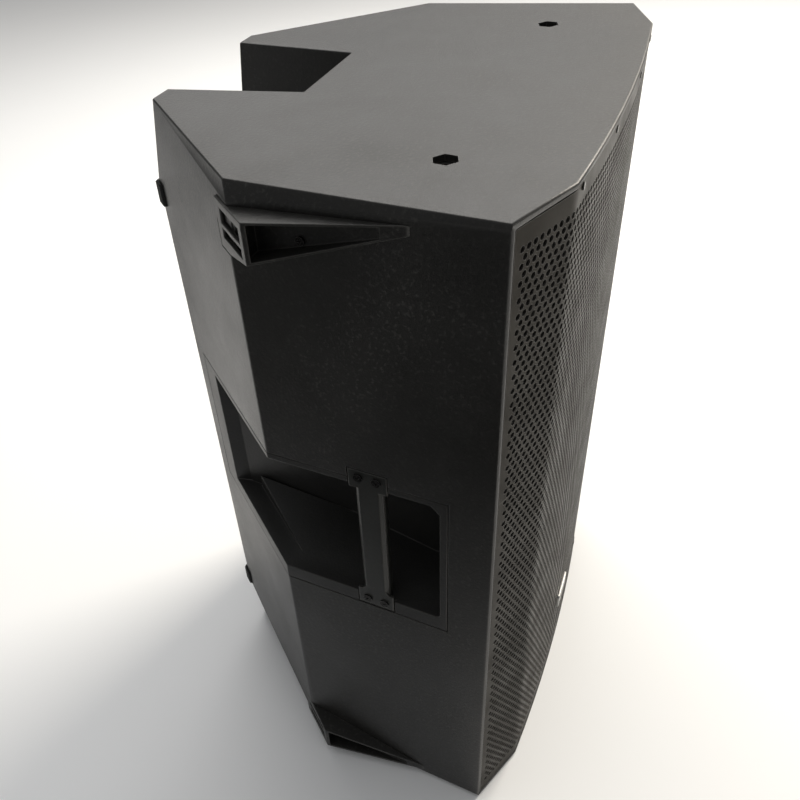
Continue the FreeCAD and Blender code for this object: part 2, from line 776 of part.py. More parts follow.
roll_mid = surround_in_r + surround_roll
front_face = by - 2.0
back_face = by - 1.0
front_roll = []
back_roll = []
for n in range(11):
    angle = math.pi * n / 10
    front_roll.append((roll_mid - surround_roll * math.cos(angle), front_face - 7.2 * math.sin(angle)))
    back_roll.append((roll_mid - (surround_roll - 1.0) * math.cos(angle), back_face - 7.2 * math.sin(angle)))
profile = [(surround_in_r - 6, front_face)] + front_roll + [(seat_in + surround_lip, front_face)]
profile += [(seat_in + surround_lip, back_face)] + list(reversed(back_roll)) + [(surround_in_r - 6, back_face)]
surround = turn_y(profile, 0, woofer_z)
save("woofer_surround", surround)

cone_out = surround_in_r
neck = by + cone_neck_depth
cone_lip = cone_out - 6
cone = turn_y([(cone_out, back_face), (cone_out, by + 0.5), (coil_r + 2.2, neck), (coil_r + 2.2, neck + 3),
               (coil_r + 0.7, neck + 3), (coil_r + 0.7, neck - 1.2), (cone_lip, back_face)], 0, woofer_z)
save("woofer_cone", cone)
former_r = coil_r + 0.7
winding_r = coil_r + 1.9
former = turn_y([(coil_r, neck - 8), (former_r, neck - 8), (former_r, tp - 4), (winding_r, tp - 4),
                 (winding_r, tp + 14), (former_r, tp + 14), (former_r, tp + 18), (coil_r, tp + 18)],
                0, woofer_z)
save("woofer_voice_coil", former)
cap = []
cap_back = []
cone_share = (dust_cap_r - coil_r - 0.7) / (cone_lip - coil_r - 0.7)
cap_y = neck - 1.2 + (back_face - neck + 1.2) * cone_share
for n in range(9):
    angle = math.pi / 2 * n / 8
    cap.append((dust_cap_r * math.cos(angle), cap_y - 17.0 * math.sin(angle)))
    cap_back.append(((dust_cap_r - 1.0) * math.cos(angle), cap_y - 16.0 * math.sin(angle)))
cap[-1] = (0.0, cap_y - 17.0)
cap_back[-1] = (0.0, cap_y - 16.0)
dust_cap = turn_y(cap + list(reversed(cap_back)), 0, woofer_z)
save("woofer_dust_cap", dust_cap)
spider_profile = [(coil_r + 0.7, land - 3.4)]
spider_waves = 12
wave_span = spider_out_r - 1.0 - coil_r - 0.7
for n in range(1, spider_waves):
    r = coil_r + 0.7 + wave_span * n / spider_waves
    spider_profile.append((r, land - 3.4 + (1.4 if n % 2 else -1.4)))
spider_profile.append((spider_out_r - 1.0, land - 0.8))
spider_back = [(r, y + 0.8) for r, y in reversed(spider_profile)]
spider = turn_y(spider_profile + spider_back, 0, woofer_z)
save("woofer_spider", spider)

# ---------------------------------------------------------------- high driver
# Rectangular horn flare screwed to the baffle, with a compression driver on its throat.
def flare(mouth_wide, mouth_high, throat, y0, y1):
    """Horn shape lofted from a rectangular mouth to a round throat."""
    rings = []
    levels = 6
    for n in range(levels + 1):
        t = n / levels
        grow = (1 - t) ** 1.6
        half_x = throat + (mouth_wide / 2 - throat) * grow
        half_z = throat + (mouth_high / 2 - throat) * grow
        square = (1 - t) ** 0.5
        points = []
        for m in range(32):
            angle = 2 * math.pi * (m + 0.5) / 32
            power = 1.0 - 0.72 * square
            cx = math.copysign(abs(math.cos(angle)) ** power, math.cos(angle))
            cz = math.copysign(abs(math.sin(angle)) ** power, math.sin(angle))
            points.append(V(half_x * cx, y0 + (y1 - y0) * t, horn_z + half_z * cz))
        rings.append(Part.makePolygon(points + [points[0]]))
    return Part.makeLoft(rings, True, True)


throat_y = by + horn_length
mouth_wide = horn_open_wide - 2 * fit
mouth_high = horn_open_high - 2 * fit
flare_out = flare(mouth_wide, mouth_high, throat_r + horn_wall, by - horn_flange, throat_y)
flare_in = flare(mouth_wide - 2 * horn_wall, mouth_high - 2 * horn_wall, throat_r,
                 by - horn_flange - 0.01, throat_y + 0.01)
horn_plate = box(-horn_wide / 2, horn_wide / 2, by - horn_flange, by,
                 horn_z - horn_high / 2, horn_z + horn_high / 2)
throat_disc = rod_y(driver_cap_r, 0, horn_z, throat_y - 6, throat_y)
horn = merge([horn_plate, flare_out, throat_disc]).cut(flare_in)
for x, z in horn_spots:
    horn = horn.cut(rod_y(2.0 + screw_fit, x, z, by - 20, by + 1))
driver_bolts = []
for turn in (45, 135, 225, 315):
    across = driver_bolt_r * math.cos(math.radians(turn))
    driver_bolts.append((across, horn_z + driver_bolt_r * math.sin(math.radians(turn))))
for x, z in driver_bolts:
    horn = horn.cut(rod_y(2.5 + screw_fit, x, z, throat_y - 12, throat_y + 1))
save("horn_flare", horn)
horn_screws = [screw(V(x, by - horn_flange, z), V(0, 1, 0), 4.2, 2.6, 2.0, 14.0) for x, z in horn_spots]
save("horn_screws", group(horn_screws))
driver = rod_y(driver_r, 0, horn_z, throat_y, throat_y + driver_long)
driver = driver.cut(rod_y(throat_r, 0, horn_z, throat_y - 1, throat_y + 12))
for x, z in driver_bolts:
    driver = driver.cut(rod_y(2.5 + screw_fit, x, z, throat_y - 1, throat_y + 10))
save("compression_driver", driver)
driver_screws = [screw(V(x, throat_y - 6, z), V(0, 1, 0), 4.5, 3.0, 2.5, 15.0) for x, z in driver_bolts]
save("driver_screws", group(driver_screws))
cap_cover = rod_y(driver_cap_r, 0, horn_z, throat_y + driver_long, throat_y + driver_long + driver_cap_long)
save("driver_rear_cover", cap_cover)

# ---------------------------------------------------------------- ports
# Two reflex ports, each a moulded tube with a lip on the face of the baffle.
port = turn_y([(port_r, by - port_lip), (port_r + port_wall + 5, by - port_lip), (port_r + port_wall + 5, by),
               (port_r + port_wall, by), (port_r + port_wall, by + port_long), (port_r, by + port_long)],
              -port_x, port_z)
save("port_tube_left", port)
save("port_tube_right", mirror_side(port))


# ---------------------------------------------------------------- handles
# A moulded cup lies in the side wall and wraps round its rear edge; a grab bar crosses it.
def side_triangle(points, w0, w1):
    """Three-sided solid from (u, z) places on the side wall, between two distances from it."""
    loop = [on_side(u, w0, z) for u, z in points]
    face = Part.Face(Part.makePolygon(loop + [loop[0]]))
    return face.extrude(on_side(0, w1) - on_side(0, w0))


def mouth_corner(z, size):
    """Sloping fill at the front of the cup's mouth; a negative size hangs it from above."""
    u = cup_front - 1.0
    reach = abs(size) + 1.0
    step = reach if size > 0 else -reach
    away = z - step / abs(step)
    return side_triangle([(u, away), (u + reach, away), (u, away + step)], 0, -30)


def build_cup():
    """Handle cup with its flange, set flush in the shell."""
    z0, z1 = cup_low - cup_wall, cup_high + cup_wall
    body = prism(cup_body_plan, z0, z1)
    band = skin_band(flange_z0, flange_z1, cup_front - flange_front, cup_rear + flange_rear, flange_thick)
    cup = merge([body, band])
    floor_plan = [
        on_side(cup_front + 3, -cup_ledge), on_side(side_length - 8, -cup_ledge),
        on_rear(cup_rear - 26, -cup_ledge), on_side(172, -cup_deep),
        on_side(cup_front + 17, -cup_deep + 16)]
    floor = prism(floor_plan, cup_low - 1, cup_low + cup_floor_rise + 4)
    rise = math.degrees(math.atan2(cup_floor_rise, cup_deep - cup_ledge))
    above = Part.makeBox(600, 400, 120, V(-300, -400, 0))
    above.Placement = FreeCAD.Placement(V(0, 0, 0), FreeCAD.Rotation(V(1, 0, 0), -rise))
    lift_frame = side_frame.multiply(FreeCAD.Placement(V(100, -cup_ledge, cup_low), FreeCAD.Rotation()))
    above.Placement = lift_frame.multiply(above.Placement)
    floor = floor.cut(above)
    void = prism(cup_void_plan, cup_low, cup_high)
    void = void.cut([mouth_corner(cup_high, -mouth_top_corner), mouth_corner(cup_low, mouth_low_corner)])
    return merge([cup.cut(void), floor]).cut(plate_seats())


cup_shape = build_cup()
save("handle_cup_left", cup_shape)
save("handle_cup_right", mirror_side(cup_shape))
bar = side_box(bar_front, bar_front + bar_wide, -bar_thick, 0, cup_low + 0.3, cup_high - 0.3)
long_edges = [edge for edge in bar.Edges if edge.BoundBox.ZLength > bar_wide * 2]
bar = bar.makeChamfer(bar_bevel, long_edges)
top_foot = side_box(plate_u0, plate_u1, -plate_thick, 0, cup_high - 4, cup_high + plate_high)
low_foot = side_box(plate_u0, plate_u1, -plate_thick, 0, plate_low_z, cup_low + 5)
webs = []
for plate_edge, bar_edge in ((plate_u0, bar_front + bar_bevel), (plate_u1, bar_front + bar_wide - bar_bevel)):
    corners = [(plate_edge, cup_low + 1), (bar_edge, cup_low + 1), (bar_edge, cup_low + web_reach)]
    webs.append(side_triangle(corners, -plate_thick, 0))
bar = merge([bar, top_foot, low_foot] + webs)
bar = bar.cut([hole(on_side(u, 2, z), inward, 1.8 + screw_fit, 8) for u, z in handle_screw_spots])
save("handle_bar_left", bar)
save("handle_bar_right", mirror_side(bar))
handle_screws = [screw(on_side(u, 0, z), inward, handle_screw_r, 1.4, 1.8, 12.0)
                 for u, z in handle_screw_spots]
save("handle_screws", group(handle_screws + [mirror_side(s) for s in handle_screws]))


# ---------------------------------------------------------------- wedge feet
# Ribbed feet that stretch the rear chamfer outwards for use as a floor monitor.
def wedge_plane(height, rise, outwards):
    """Everything beyond the sloping top (outwards 1) or bottom (-1) plane of the upper wedge."""
    run = side_length - wedge_tip_front
    p = on_side(side_length, 0, height)
    q = on_side(side_length, 50, height)
    r = on_side(side_length - run, 0, height + rise)
    return beyond(p, plane_normal(p, q, r, V(0, 0, outwards)))


def build_wedge():
    """Upper wedge foot on the left side."""
    tip = on_side(wedge_tip_front, 0)
    plan = [on_side(side_length, 0), on_rear(-wedge_reach, 0), tip]
    top_rise = (shell_high - wedge_tip_drop) - wedge_z1
    low_rise = (shell_high - wedge_tip_drop - wedge_tip_high) - wedge_z0
    under = wedge_plane(wedge_z0, low_rise, -1.0)
    body = prism(plan, wedge_z0 - 10, shell_high).cut([wedge_plane(wedge_z1, top_rise, 1.0), under])
    end = rear_box(-wedge_reach, wedge_overlap, -wedge_end, 0, wedge_z0, wedge_z1)
    end = end.cut(under.common(rear_box(-wedge_reach - 1, 0, -50, 50, wedge_z0 - 1, wedge_z1)))
    body = merge([body, end])
    rib = side_length - wedge_rib_back
    beyond_end = rear_box(-200, 200, -wedge_end, 60, wedge_z0 - 20, shell_high)
    faces = [wedge_plane(wedge_z1 - wedge_skin, top_rise, 1.0),
             wedge_plane(wedge_z0 + wedge_skin, low_rise, -1.0), beyond_end]
    hollows = []
    for u0, u1 in ((wedge_tip_front + wedge_pocket_start, rib), (rib + wedge_rib, side_length + 30)):
        pocket = side_box(u0, u1, wedge_floor, 80, wedge_z0 - 10, shell_high)
        hollows.append(pocket.cut(faces))
    middle = wedge_z0 + wedge_high / 2.0
    half_bar = wedge_window_bar / 2.0
    for z0, z1 in ((wedge_z0 + wedge_window_rim + 4.0, middle - half_bar),
                   (middle + half_bar, wedge_z1 - wedge_window_rim)):
        hollows.append(rear_box(-wedge_reach + 7, wedge_overlap - 9, -wedge_end - 1, 2, z0, z1))
    body = body.cut(hollows)
    return body.cut([hole(on_side(u, 8, z), inward, 1.8 + screw_fit, 12) for u, z in wedge_screw_spots])


wedge = build_wedge()
save("wedge_foot_left_upper", wedge)
save("wedge_foot_left_lower", mirror_up(wedge))
save("wedge_foot_right_upper", mirror_side(wedge))
save("wedge_foot_right_lower", mirror_side(mirror_up(wedge)))
wedge_screws = [screw(on_side(u, wedge_floor, z), inward, 3.4, 2.0, 1.8, 14.0) for u, z in wedge_screw_spots]
wedge_screws += [mirror_up(s) for s in wedge_screws]
save("wedge_foot_screws", group(wedge_screws + [mirror_side(s) for s in wedge_screws]))

# ---------------------------------------------------------------- rubber bumpers and feet
# Caps on the outer edges of the rear legs, and four round feet plugged in the bottom plate.
outer_corner = inset_point(corner_l, corner_k, corner_j, -bumper_thick)
cap_plan = [
    on_rear(rear_length - bumper_leg, 0), corner_k, V(corner_k.x + bumper_leg, corner_k.y, 0),
    V(corner_k.x + bumper_leg - 2, corner_k.y + bumper_thick, 0), outer_corner,
    on_rear(rear_length - bumper_leg + 2, bumper_thick)]
bumper_z1 = shell_high - bevel_drop_leg
bumper = prism(cap_plan, bumper_z1 - bumper_high, bumper_z1)
bumpers = [bumper, mirror_up(bumper)]
save("rear_bumpers", group(bumpers + [mirror_side(s) for s in bumpers]))
feet = []
for x, y in foot_spots:
    disc = Part.makeCone(foot_r - 1.0, foot_r, foot_lift, V(x, y, 0))
    stem = rod_z(4.0, x, y, foot_lift, foot_lift + wall + 1.5)
    feet.append(merge([disc, stem]))
save("bottom_feet", group(feet))

# ---------------------------------------------------------------- fly points and pole socket
# Steel inserts tapped for the suspension bolts, and a blind socket for a stand's pole.
for name, (x, y) in zip(("fly_insert_left", "fly_insert_right"), fly_spots):
    insert = rod_z(11.0, x, y, shell_high - wall - 22.0, shell_high - wall - 0.4)
    insert = insert.cut(rod_z(fly_thread_r, x, y, shell_high - wall - 19.0, shell_high))
    save(name, insert)
pole_z = shell_low
socket = rod_z(pole_r + pole_wall, 0, pole_y, pole_z, pole_z + pole_long + 4)
flange_disc = rod_z(pole_screw_r + 7, 0, pole_y, shell_low + wall, shell_low + wall + 4)
socket = merge([socket, flange_disc])
socket = socket.cut(rod_z(pole_r, 0, pole_y, pole_z - 1, pole_z + pole_long))
socket = socket.cut([rod_z(2.0 + screw_fit, x, y, shell_low, shell_low + 20) for x, y in pole_screw_spots])
save("pole_socket", socket)
pole_screws = [screw(V(x, y, shell_low + wall + 4), V(0, 0, -1), 4.0, 2.4, 2.0, 8.0) for x, y in pole_screw_spots]
save("pole_socket_screws", group(pole_screws))

# ---------------------------------------------------------------- rear panel
# Aluminium panel on the floor of the rear recess. It carries the amplifier and its controls.
face_y = panel_y + panel_thick
combo_z = (430.0, 350.0)
knob_z = (472.0, 390.0)
master_z = 510.0
link_z = 303.0
inlet_z = 205.0
rocker_z = 252.0
led_z = 530.0
jack_r = 12.0
button_x = 26.0
fin_z0 = 548.0
fin_z1 = panel_high - 14.0
panel = box(-panel_half, panel_half, panel_y, face_y, panel_low, panel_high)
knob_spots = [(0.0, knob_z[0]), (0.0, knob_z[1]), (0.0, master_z)]
knob_shaft_r = 3.0
cutters = [rod_y(1.6 + screw_fit, x, z, panel_y - 1, face_y + 1) for x, z in panel_spots]
cutters += [rod_y(knob_shaft_r + shaft_fit, x, z, panel_y - 1, face_y + 1) for x, z in knob_spots]
cutters += [rod_y(jack_r + fit, 0, z, panel_y - 1, face_y + 1) for z in combo_z + (link_z,)]
cutters.append(box(-24.5, 24.5, panel_y - 1, face_y + 1, inlet_z - 14.5, inlet_z + 14.5))
cutters.append(box(-rocker_wide / 2 - 2.4, rocker_wide / 2 + 2.4, panel_y - 1, face_y + 1,
                   rocker_z - rocker_high / 2 - 2.4, rocker_z + rocker_high / 2 + 2.4))
button_spots = [(-button_x, led_z), (button_x, led_z)]
cutters += [rod_y(button_r + skin, x, z, panel_y - 1, face_y + 1) for x, z in button_spots]
cutters.append(rod_y(1.5 + skin, 0, led_z, panel_y - 1, face_y + 1))
panel = panel.cut(cutters)
save("amp_panel", panel)
panel_screws = [screw(V(x, face_y, z), V(0, -1, 0), 3.2, 2.0, 1.6, 11.0) for x, z in panel_spots]
save("amp_panel_screws", group(panel_screws))

sink = box(-36, 36, face_y, face_y + 3.0, fin_z0, fin_z1)
fins = []
for n in range(fin_count):
    x = -36 + fin_thick / 2 + n * (72 - fin_thick) / (fin_count - 1)
    fins.append(box(x - fin_thick / 2, x + fin_thick / 2, face_y + 2.5, face_y + 3.0 + fin_high, fin_z0, fin_z1))
save("heat_sink", merge([sink] + fins))

board = box(-34, 34, panel_y - 34, panel_y - 32.4, 190, 600)
save("amplifier_board", board)
standoffs = []
for x in (-30.0, 30.0):
    for z in (200.0, 590.0):
        standoffs.append(rod_y(3.0, x, z, panel_y - 32.4, panel_y))
save("board_standoffs", group(standoffs))
supply = box(-30, 30, panel_y - 32.4, panel_y - 6, 560, 584)
save("amplifier_coil", supply)

for name, (x, z) in zip(("gain_knob_upper", "gain_knob_lower", "level_knob"), knob_spots):
    grip = rod_y(knob_r, x, z, face_y + 0.8, face_y + 0.8 + knob_high)
    flutes = []
    for n in range(12):
        turn = math.radians(30 * n)
        across = knob_r * math.cos(turn)
        up = knob_r * math.sin(turn)
        flutes.append(rod_y(0.9, x + across, z + up, face_y + 3, face_y + 20))
    pointer = box(x - 0.5, x + 0.5, face_y + knob_high, face_y + 20, z + 1, z + knob_r)
    stem = rod_y(knob_shaft_r, x, z, panel_y - 5.5, face_y + 1)
    save(name, merge([grip, stem]).cut(flutes + [pointer]))
pots = [box(x - 8, x + 8, panel_y - 14, panel_y - 6, z - 8, z + 8) for x, z in knob_spots]
bushes = []
for (x, z), pot in zip(knob_spots, pots):
    neck_tube = rod_y(5.0, x, z, panel_y - 6.5, panel_y)
    body = merge([pot, neck_tube]).cut(rod_y(knob_shaft_r + shaft_fit, x, z, panel_y - 6, panel_y + 1))
    bushes.append(body)
save("potentiometers", group(bushes))

for name, z in zip(("combo_jack_upper", "combo_jack_lower", "link_jack"), combo_z + (link_z,)):
    plate = box(-13, 13, face_y, face_y + 1.6, z - 15.5, z + 15.5)
    barrel = rod_y(jack_r, 0, z, panel_y - 20, face_y + 1.6)
    body = merge([plate, barrel])
    if name == "link_jack":
        body = body.cut(rod_y(jack_r - 1.6, 0, z, panel_y - 15, face_y + 5))
        pins = []
        for a in (90, 210, 330):
            px = 4.4 * math.cos(math.radians(a))
            pz = z + 4.4 * math.sin(math.radians(a))
            pins.append(rod_y(1.2, px, pz, panel_y - 16, face_y - 3))
        body = merge([body] + pins)
    else:
        body = body.cut(rod_y(3.2, 0, z, panel_y - 17, face_y + 5))
        sockets = []
        for a in (90, 210, 330):
            px = 7.6 * math.cos(math.radians(a))
            pz = z + 7.6 * math.sin(math.radians(a))
            sockets.append(rod_y(1.5, px, pz, panel_y - 10, face_y + 5))
        body = body.cut(sockets)
    save(name, body)

inlet_flange = box(-26.5, 26.5, face_y, face_y + 2.0, inlet_z - 16.5, inlet_z + 16.5)
inlet_body = box(-23.5, 23.5, panel_y - 22, face_y + 1, inlet_z - 13.5, inlet_z + 13.5)
inlet = merge([inlet_flange, inlet_body])
inlet = inlet.cut(box(-12.5, 12.5, panel_y - 16, face_y + 5, inlet_z - 9, inlet_z + 9))
blades = [box(x - 1, x + 1, panel_y - 17, face_y - 4, inlet_z - 2 + dz, inlet_z + 2 + dz)
          for x, dz in ((-7, -2), (0, 3), (7, -2))]
inlet = merge([inlet] + blades)
save("mains_inlet", inlet)

rocker_frame = box(-rocker_wide / 2 - 4, rocker_wide / 2 + 4, face_y, face_y + 1.6,
                   rocker_z - rocker_high / 2 - 4, rocker_z + rocker_high / 2 + 4)
rocker_body = box(-rocker_wide / 2 - 2, rocker_wide / 2 + 2, panel_y - 16, face_y + 1,
                  rocker_z - rocker_high / 2 - 2, rocker_z + rocker_high / 2 + 2)
well = box(-rocker_wide / 2 - 0.4, rocker_wide / 2 + 0.4, panel_y - 12, face_y + 4,
           rocker_z - rocker_high / 2 - 0.5, rocker_z + rocker_high / 2 + 0.5)
pivot_y = face_y - 4.0
pin_r = 1.6
pin_half = rocker_wide / 2 + 1.4
pin_hole = Part.makeCylinder(pin_r + shaft_fit, 2 * pin_half + 0.4,
                             V(-pin_half - 0.2, pivot_y, rocker_z), V(1, 0, 0))
save("switch_frame", merge([rocker_frame, rocker_body]).cut([well, pin_hole]))
rocker_points = [V(0, pivot_y - 4, rocker_z - 8), V(0, face_y + 2.2, rocker_z - rocker_high / 2 + 0.6),
                 V(0, face_y + 0.6, rocker_z), V(0, face_y + 2.2, rocker_z + rocker_high / 2 - 0.6),
                 V(0, pivot_y - 4, rocker_z + 8)]
face = Part.Face(Part.makePolygon(rocker_points + [rocker_points[0]]))
rocker = face.extrude(V(rocker_wide, 0, 0))
rocker.translate(V(-rocker_wide / 2, 0, 0))
pin = Part.makeCylinder(pin_r, 2 * pin_half, V(-pin_half, pivot_y, rocker_z), V(1, 0, 0))
rocker = merge([rocker, pin])
rocker.rotate(V(0, pivot_y, rocker_z), V(1, 0, 0), rocker_tilt)
save("power_rocker", rocker)

for name, (x, z) in zip(("mode_button", "light_button"), button_spots):
    stem = rod_y(button_r, x, z, panel_y - 5, face_y + 3.0)
    save(name, stem)
housings = [box(x - 7, x + 7, panel_y - 32.4, panel_y - 8.0, z - 7, z + 7) for x, z in button_spots]
save("button_switches", group(housings))
led = rod_y(1.5, 0, led_z, panel_y - 6, face_y + 1.2)
save("status_light", led)
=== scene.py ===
"""Looks of the two-way active loudspeaker cabinet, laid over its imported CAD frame.

The file follows the cabinet as it is put together: shell, baffle, drivers, ports, grille, badge,
handles, wedge feet, rubber parts, fly points, pole socket and rear panel, then the studio round it.
Lengths are in metres. +Z is up and the grille faces -Y.
"""
import json
import math

import bmesh
import bpy
import numpy as np
from mathutils import Matrix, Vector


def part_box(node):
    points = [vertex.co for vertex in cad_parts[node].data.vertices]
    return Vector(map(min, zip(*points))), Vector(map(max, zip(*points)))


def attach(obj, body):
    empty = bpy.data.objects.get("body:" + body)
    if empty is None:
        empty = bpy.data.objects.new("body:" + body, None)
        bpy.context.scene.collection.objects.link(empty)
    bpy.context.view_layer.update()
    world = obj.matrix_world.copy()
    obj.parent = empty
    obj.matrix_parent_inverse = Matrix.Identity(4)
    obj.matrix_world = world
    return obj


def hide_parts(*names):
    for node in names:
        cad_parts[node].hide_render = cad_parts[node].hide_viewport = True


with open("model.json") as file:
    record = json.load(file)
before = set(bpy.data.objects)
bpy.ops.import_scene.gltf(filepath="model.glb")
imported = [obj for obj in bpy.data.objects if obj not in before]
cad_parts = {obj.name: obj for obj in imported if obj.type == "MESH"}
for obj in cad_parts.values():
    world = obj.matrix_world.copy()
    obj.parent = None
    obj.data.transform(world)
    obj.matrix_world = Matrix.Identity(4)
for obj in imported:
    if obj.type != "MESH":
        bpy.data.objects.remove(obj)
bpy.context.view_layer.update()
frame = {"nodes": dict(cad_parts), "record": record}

# ---------------------------------------------------------------- moulded shell
# One thick-walled moulding in black polypropylene with a leather-like grain. Its corners are
# rounded by the mould and rubbed lighter in use; the top plate carries a long hairline scratch.
shell_corner = 0.0016
shell_grain = 0.00085
shell_grain_depth = 0.00011
scratch_line = ((0.108, -0.0747), (0.0357, -0.0847), (-0.0124, -0.1019), (-0.0485, -0.12), (-0.0899, -0.1279))
scratch_wide = 0.0006
chip_spots = ((0.1126, 0.102), (0.117, 0.0877))
chip_size = 0.0016


def add(tree, kind, feeds=None, **settings):
    """One shader node and its outputs; feeds holds values or other nodes' outputs by input."""
    node = tree.nodes.new("ShaderNode" + kind)
    for key, value in settings.items():
        setattr(node, key, value)
    for key, value in (feeds or {}).items():
        if isinstance(value, bpy.types.NodeSocket):
            tree.links.new(value, node.inputs[key])
        else:
            node.inputs[key].default_value = value
    return node.outputs


def maths(tree, operation, first, second=0.0):
    """Result of one arithmetic step on two values or outputs."""
    return add(tree, "Math", {0: first, 1: second}, operation=operation)[0]


def span(tree, value, low, high, to_low=0.0, to_high=1.0):
    """Value carried from low..high onto to_low..to_high and held at both ends."""
    return add(tree, "MapRange", {0: value, 1: low, 2: high, 3: to_low, 4: to_high}, clamp=True)[0]


def blend_colours(tree, share, first, second):
    """First colour where share is 0, second where it is 1."""
    return add(tree, "Mix", {0: share, 6: first, 7: second}, data_type="RGBA")[2]


def shade(colour, factor=1.0):
    """Colour with its brightness scaled, as a shader takes it."""
    return tuple(min(1.0, part * factor) for part in colour) + (1.0,)


def blank_material(name):
    """New material, with its node tree, its main shader and its object coordinates."""
    material = bpy.data.materials.new(name)
    material.use_nodes = True
    tree = material.node_tree
    shader = tree.nodes["Principled BSDF"]
    return material, tree, shader, add(tree, "TexCoord")["Object"]


def rubbed_corners(tree, radius):
    """1 on corners within a radius and 0 on flats, from how far the rounded normal leans."""
    lean = add(tree, "Bevel", {"Radius": radius}, samples=4)["Normal"]
    true = add(tree, "NewGeometry")["Normal"]
    straight = add(tree, "VectorMath", {0: lean, 1: true}, operation="DOT_PRODUCT")["Value"]
    return span(tree, straight, 0.995, 0.90)


def plastic(name, colour, roughness, grain, depth, worn=0.5, scuffed=0.5, flecked=0.0):
    """Grained moulded plastic.

    The grain is rounded cells one grain wide with finer noise over them; the low ground between the
    cells is coloured darker, a painted shade in the grain. Colour and gloss drift with clouds of a
    hand's breadth, scuffs are thin stretched streaks, flecks are pale specks of dust a few grains
    wide, and corners are rubbed.
    """
    material, tree, shader, place = blank_material(name)
    cells = add(tree, "TexVoronoi", {"Vector": place, "Scale": 1.0 / grain}, feature="SMOOTH_F1")["Distance"]
    fine = add(tree, "TexNoise", {"Vector": place, "Scale": 2.7 / grain, "Detail": 3.0})["Fac"]
    cloud = add(tree, "TexNoise", {"Vector": place, "Scale": 9.0, "Detail": 5.0, "Roughness": 0.6})["Fac"]
    turned = add(tree, "Mapping", {"Vector": place, "Rotation": (0.5, 0.35, 0.9),
                                   "Scale": (14.0, 190.0, 130.0)})[0]
    streak = add(tree, "TexNoise", {"Vector": turned, "Scale": 1.0, "Detail": 4.0, "Roughness": 0.65})["Fac"]
    scuff = maths(tree, "MULTIPLY", span(tree, streak, 0.66, 0.78), span(tree, cloud, 0.48, 0.64))
    base = blend_colours(tree, span(tree, cloud, 0.3, 0.7), shade(colour, 0.8), shade(colour, 1.22))
    # painted shade: the low ground between the grain's cells is coloured darker than their tops
    shaded_pits = blend_colours(tree, span(tree, cells, 0.15, 0.6, 0.0, 0.55), base, shade(colour, 0.55))
    marked = blend_colours(tree, maths(tree, "MULTIPLY", scuff, scuffed), shaded_pits, shade((0.1, 0.098, 0.09)))
    specks = add(tree, "TexNoise", {"Vector": place, "Scale": 0.3 / grain, "Detail": 2.0})["Fac"]
    fleck = maths(tree, "MULTIPLY", span(tree, specks, 0.56, 0.7), span(tree, cloud, 0.4, 0.6, 0.3, 1.0))
    dusty = blend_colours(tree, maths(tree, "MULTIPLY", fleck, flecked), marked, shade((0.12, 0.118, 0.11)))
    rub = maths(tree, "MULTIPLY", rubbed_corners(tree, 0.0018), span(tree, cloud, 0.35, 0.62, 0.35, 1.0))
    final = blend_colours(tree, maths(tree, "MULTIPLY", rub, worn), dusty, shade((0.13, 0.125, 0.115)))
    tree.links.new(final, shader.inputs["Base Color"])
    gloss = span(tree, cloud, 0.3, 0.7, roughness - 0.06, roughness + 0.06)
    gloss = maths(tree, "ADD", gloss, span(tree, fine, 0.3, 0.7, -0.05, 0.05))
    tree.links.new(gloss, shader.inputs["Roughness"])
    height = maths(tree, "ADD", maths(tree, "MULTIPLY", cells, -1.0), maths(tree, "MULTIPLY", fine, 0.5))
    height = maths(tree, "ADD", height, maths(tree, "MULTIPLY", specks, 2.6))
    bump = add(tree, "Bump", {"Strength": 0.8, "Distance": depth, "Height": height})[0]
    tree.links.new(bump, shader.inputs["Normal"])
    shader.inputs["Specular IOR Level"].default_value = 0.5
    return material


def line_mask(tree, place, points, wide):
    """1 on a thin line through plan points and 0 away from it, as the nearest of its runs."""
    flat = add(tree, "VectorMath", {0: place, 1: (1.0, 1.0, 0.0)}, operation="MULTIPLY")[0]
    nearest = None
    for (x0, y0), (x1, y1) in zip(points[:-1], points[1:]):
        run = (x1 - x0, y1 - y0, 0.0)
        square = run[0] ** 2 + run[1] ** 2
        off = add(tree, "VectorMath", {0: flat, 1: (x0, y0, 0.0)}, operation="SUBTRACT")[0]
        along = add(tree, "VectorMath", {0: off, 1: run}, operation="DOT_PRODUCT")["Value"]
        share = span(tree, along, 0.0, square)
        foot = add(tree, "VectorMath", {0: run, 3: share}, operation="SCALE")[0]
        gap = add(tree, "VectorMath", {0: off, 1: foot}, operation="DISTANCE")["Value"]
        nearest = gap if nearest is None else maths(tree, "MINIMUM", nearest, gap)
    return span(tree, nearest, wide, 0.3 * wide)


def mark_top_plate(material, height):
    """Lay the scratch and two chips into a plastic, only on faces at the top plate's height."""
    tree = material.node_tree
    shader = tree.nodes["Principled BSDF"]
    place = add(tree, "TexCoord")["Object"]
    wander = add(tree, "TexNoise", {"Vector": place, "Scale": 70.0, "Detail": 3.0})["Color"]
    shift = add(tree, "VectorMath", {0: wander, 1: (0.5, 0.5, 0.5)}, operation="SUBTRACT")[0]
    shift = add(tree, "VectorMath", {0: shift, 3: 0.009}, operation="SCALE")[0]
    bent = add(tree, "VectorMath", {0: place, 1: shift}, operation="ADD")[0]
    mask = line_mask(tree, bent, scratch_line, scratch_wide)
    for x, y in chip_spots:
        chip = line_mask(tree, place, ((x, y), (x + chip_size, y + 0.3 * chip_size)), 0.8 * chip_size)
        mask = maths(tree, "MAXIMUM", mask, chip)
    level = add(tree, "SeparateXYZ", {0: place})["Z"]
    mask = maths(tree, "MULTIPLY", mask, span(tree, level, height - 0.002, height - 0.001))
    under = shader.inputs["Base Color"].links[0].from_socket
    scored = blend_colours(tree, mask, under, shade((0.006, 0.006, 0.006)))
    tree.links.new(scored, shader.inputs["Base Color"])
    return material


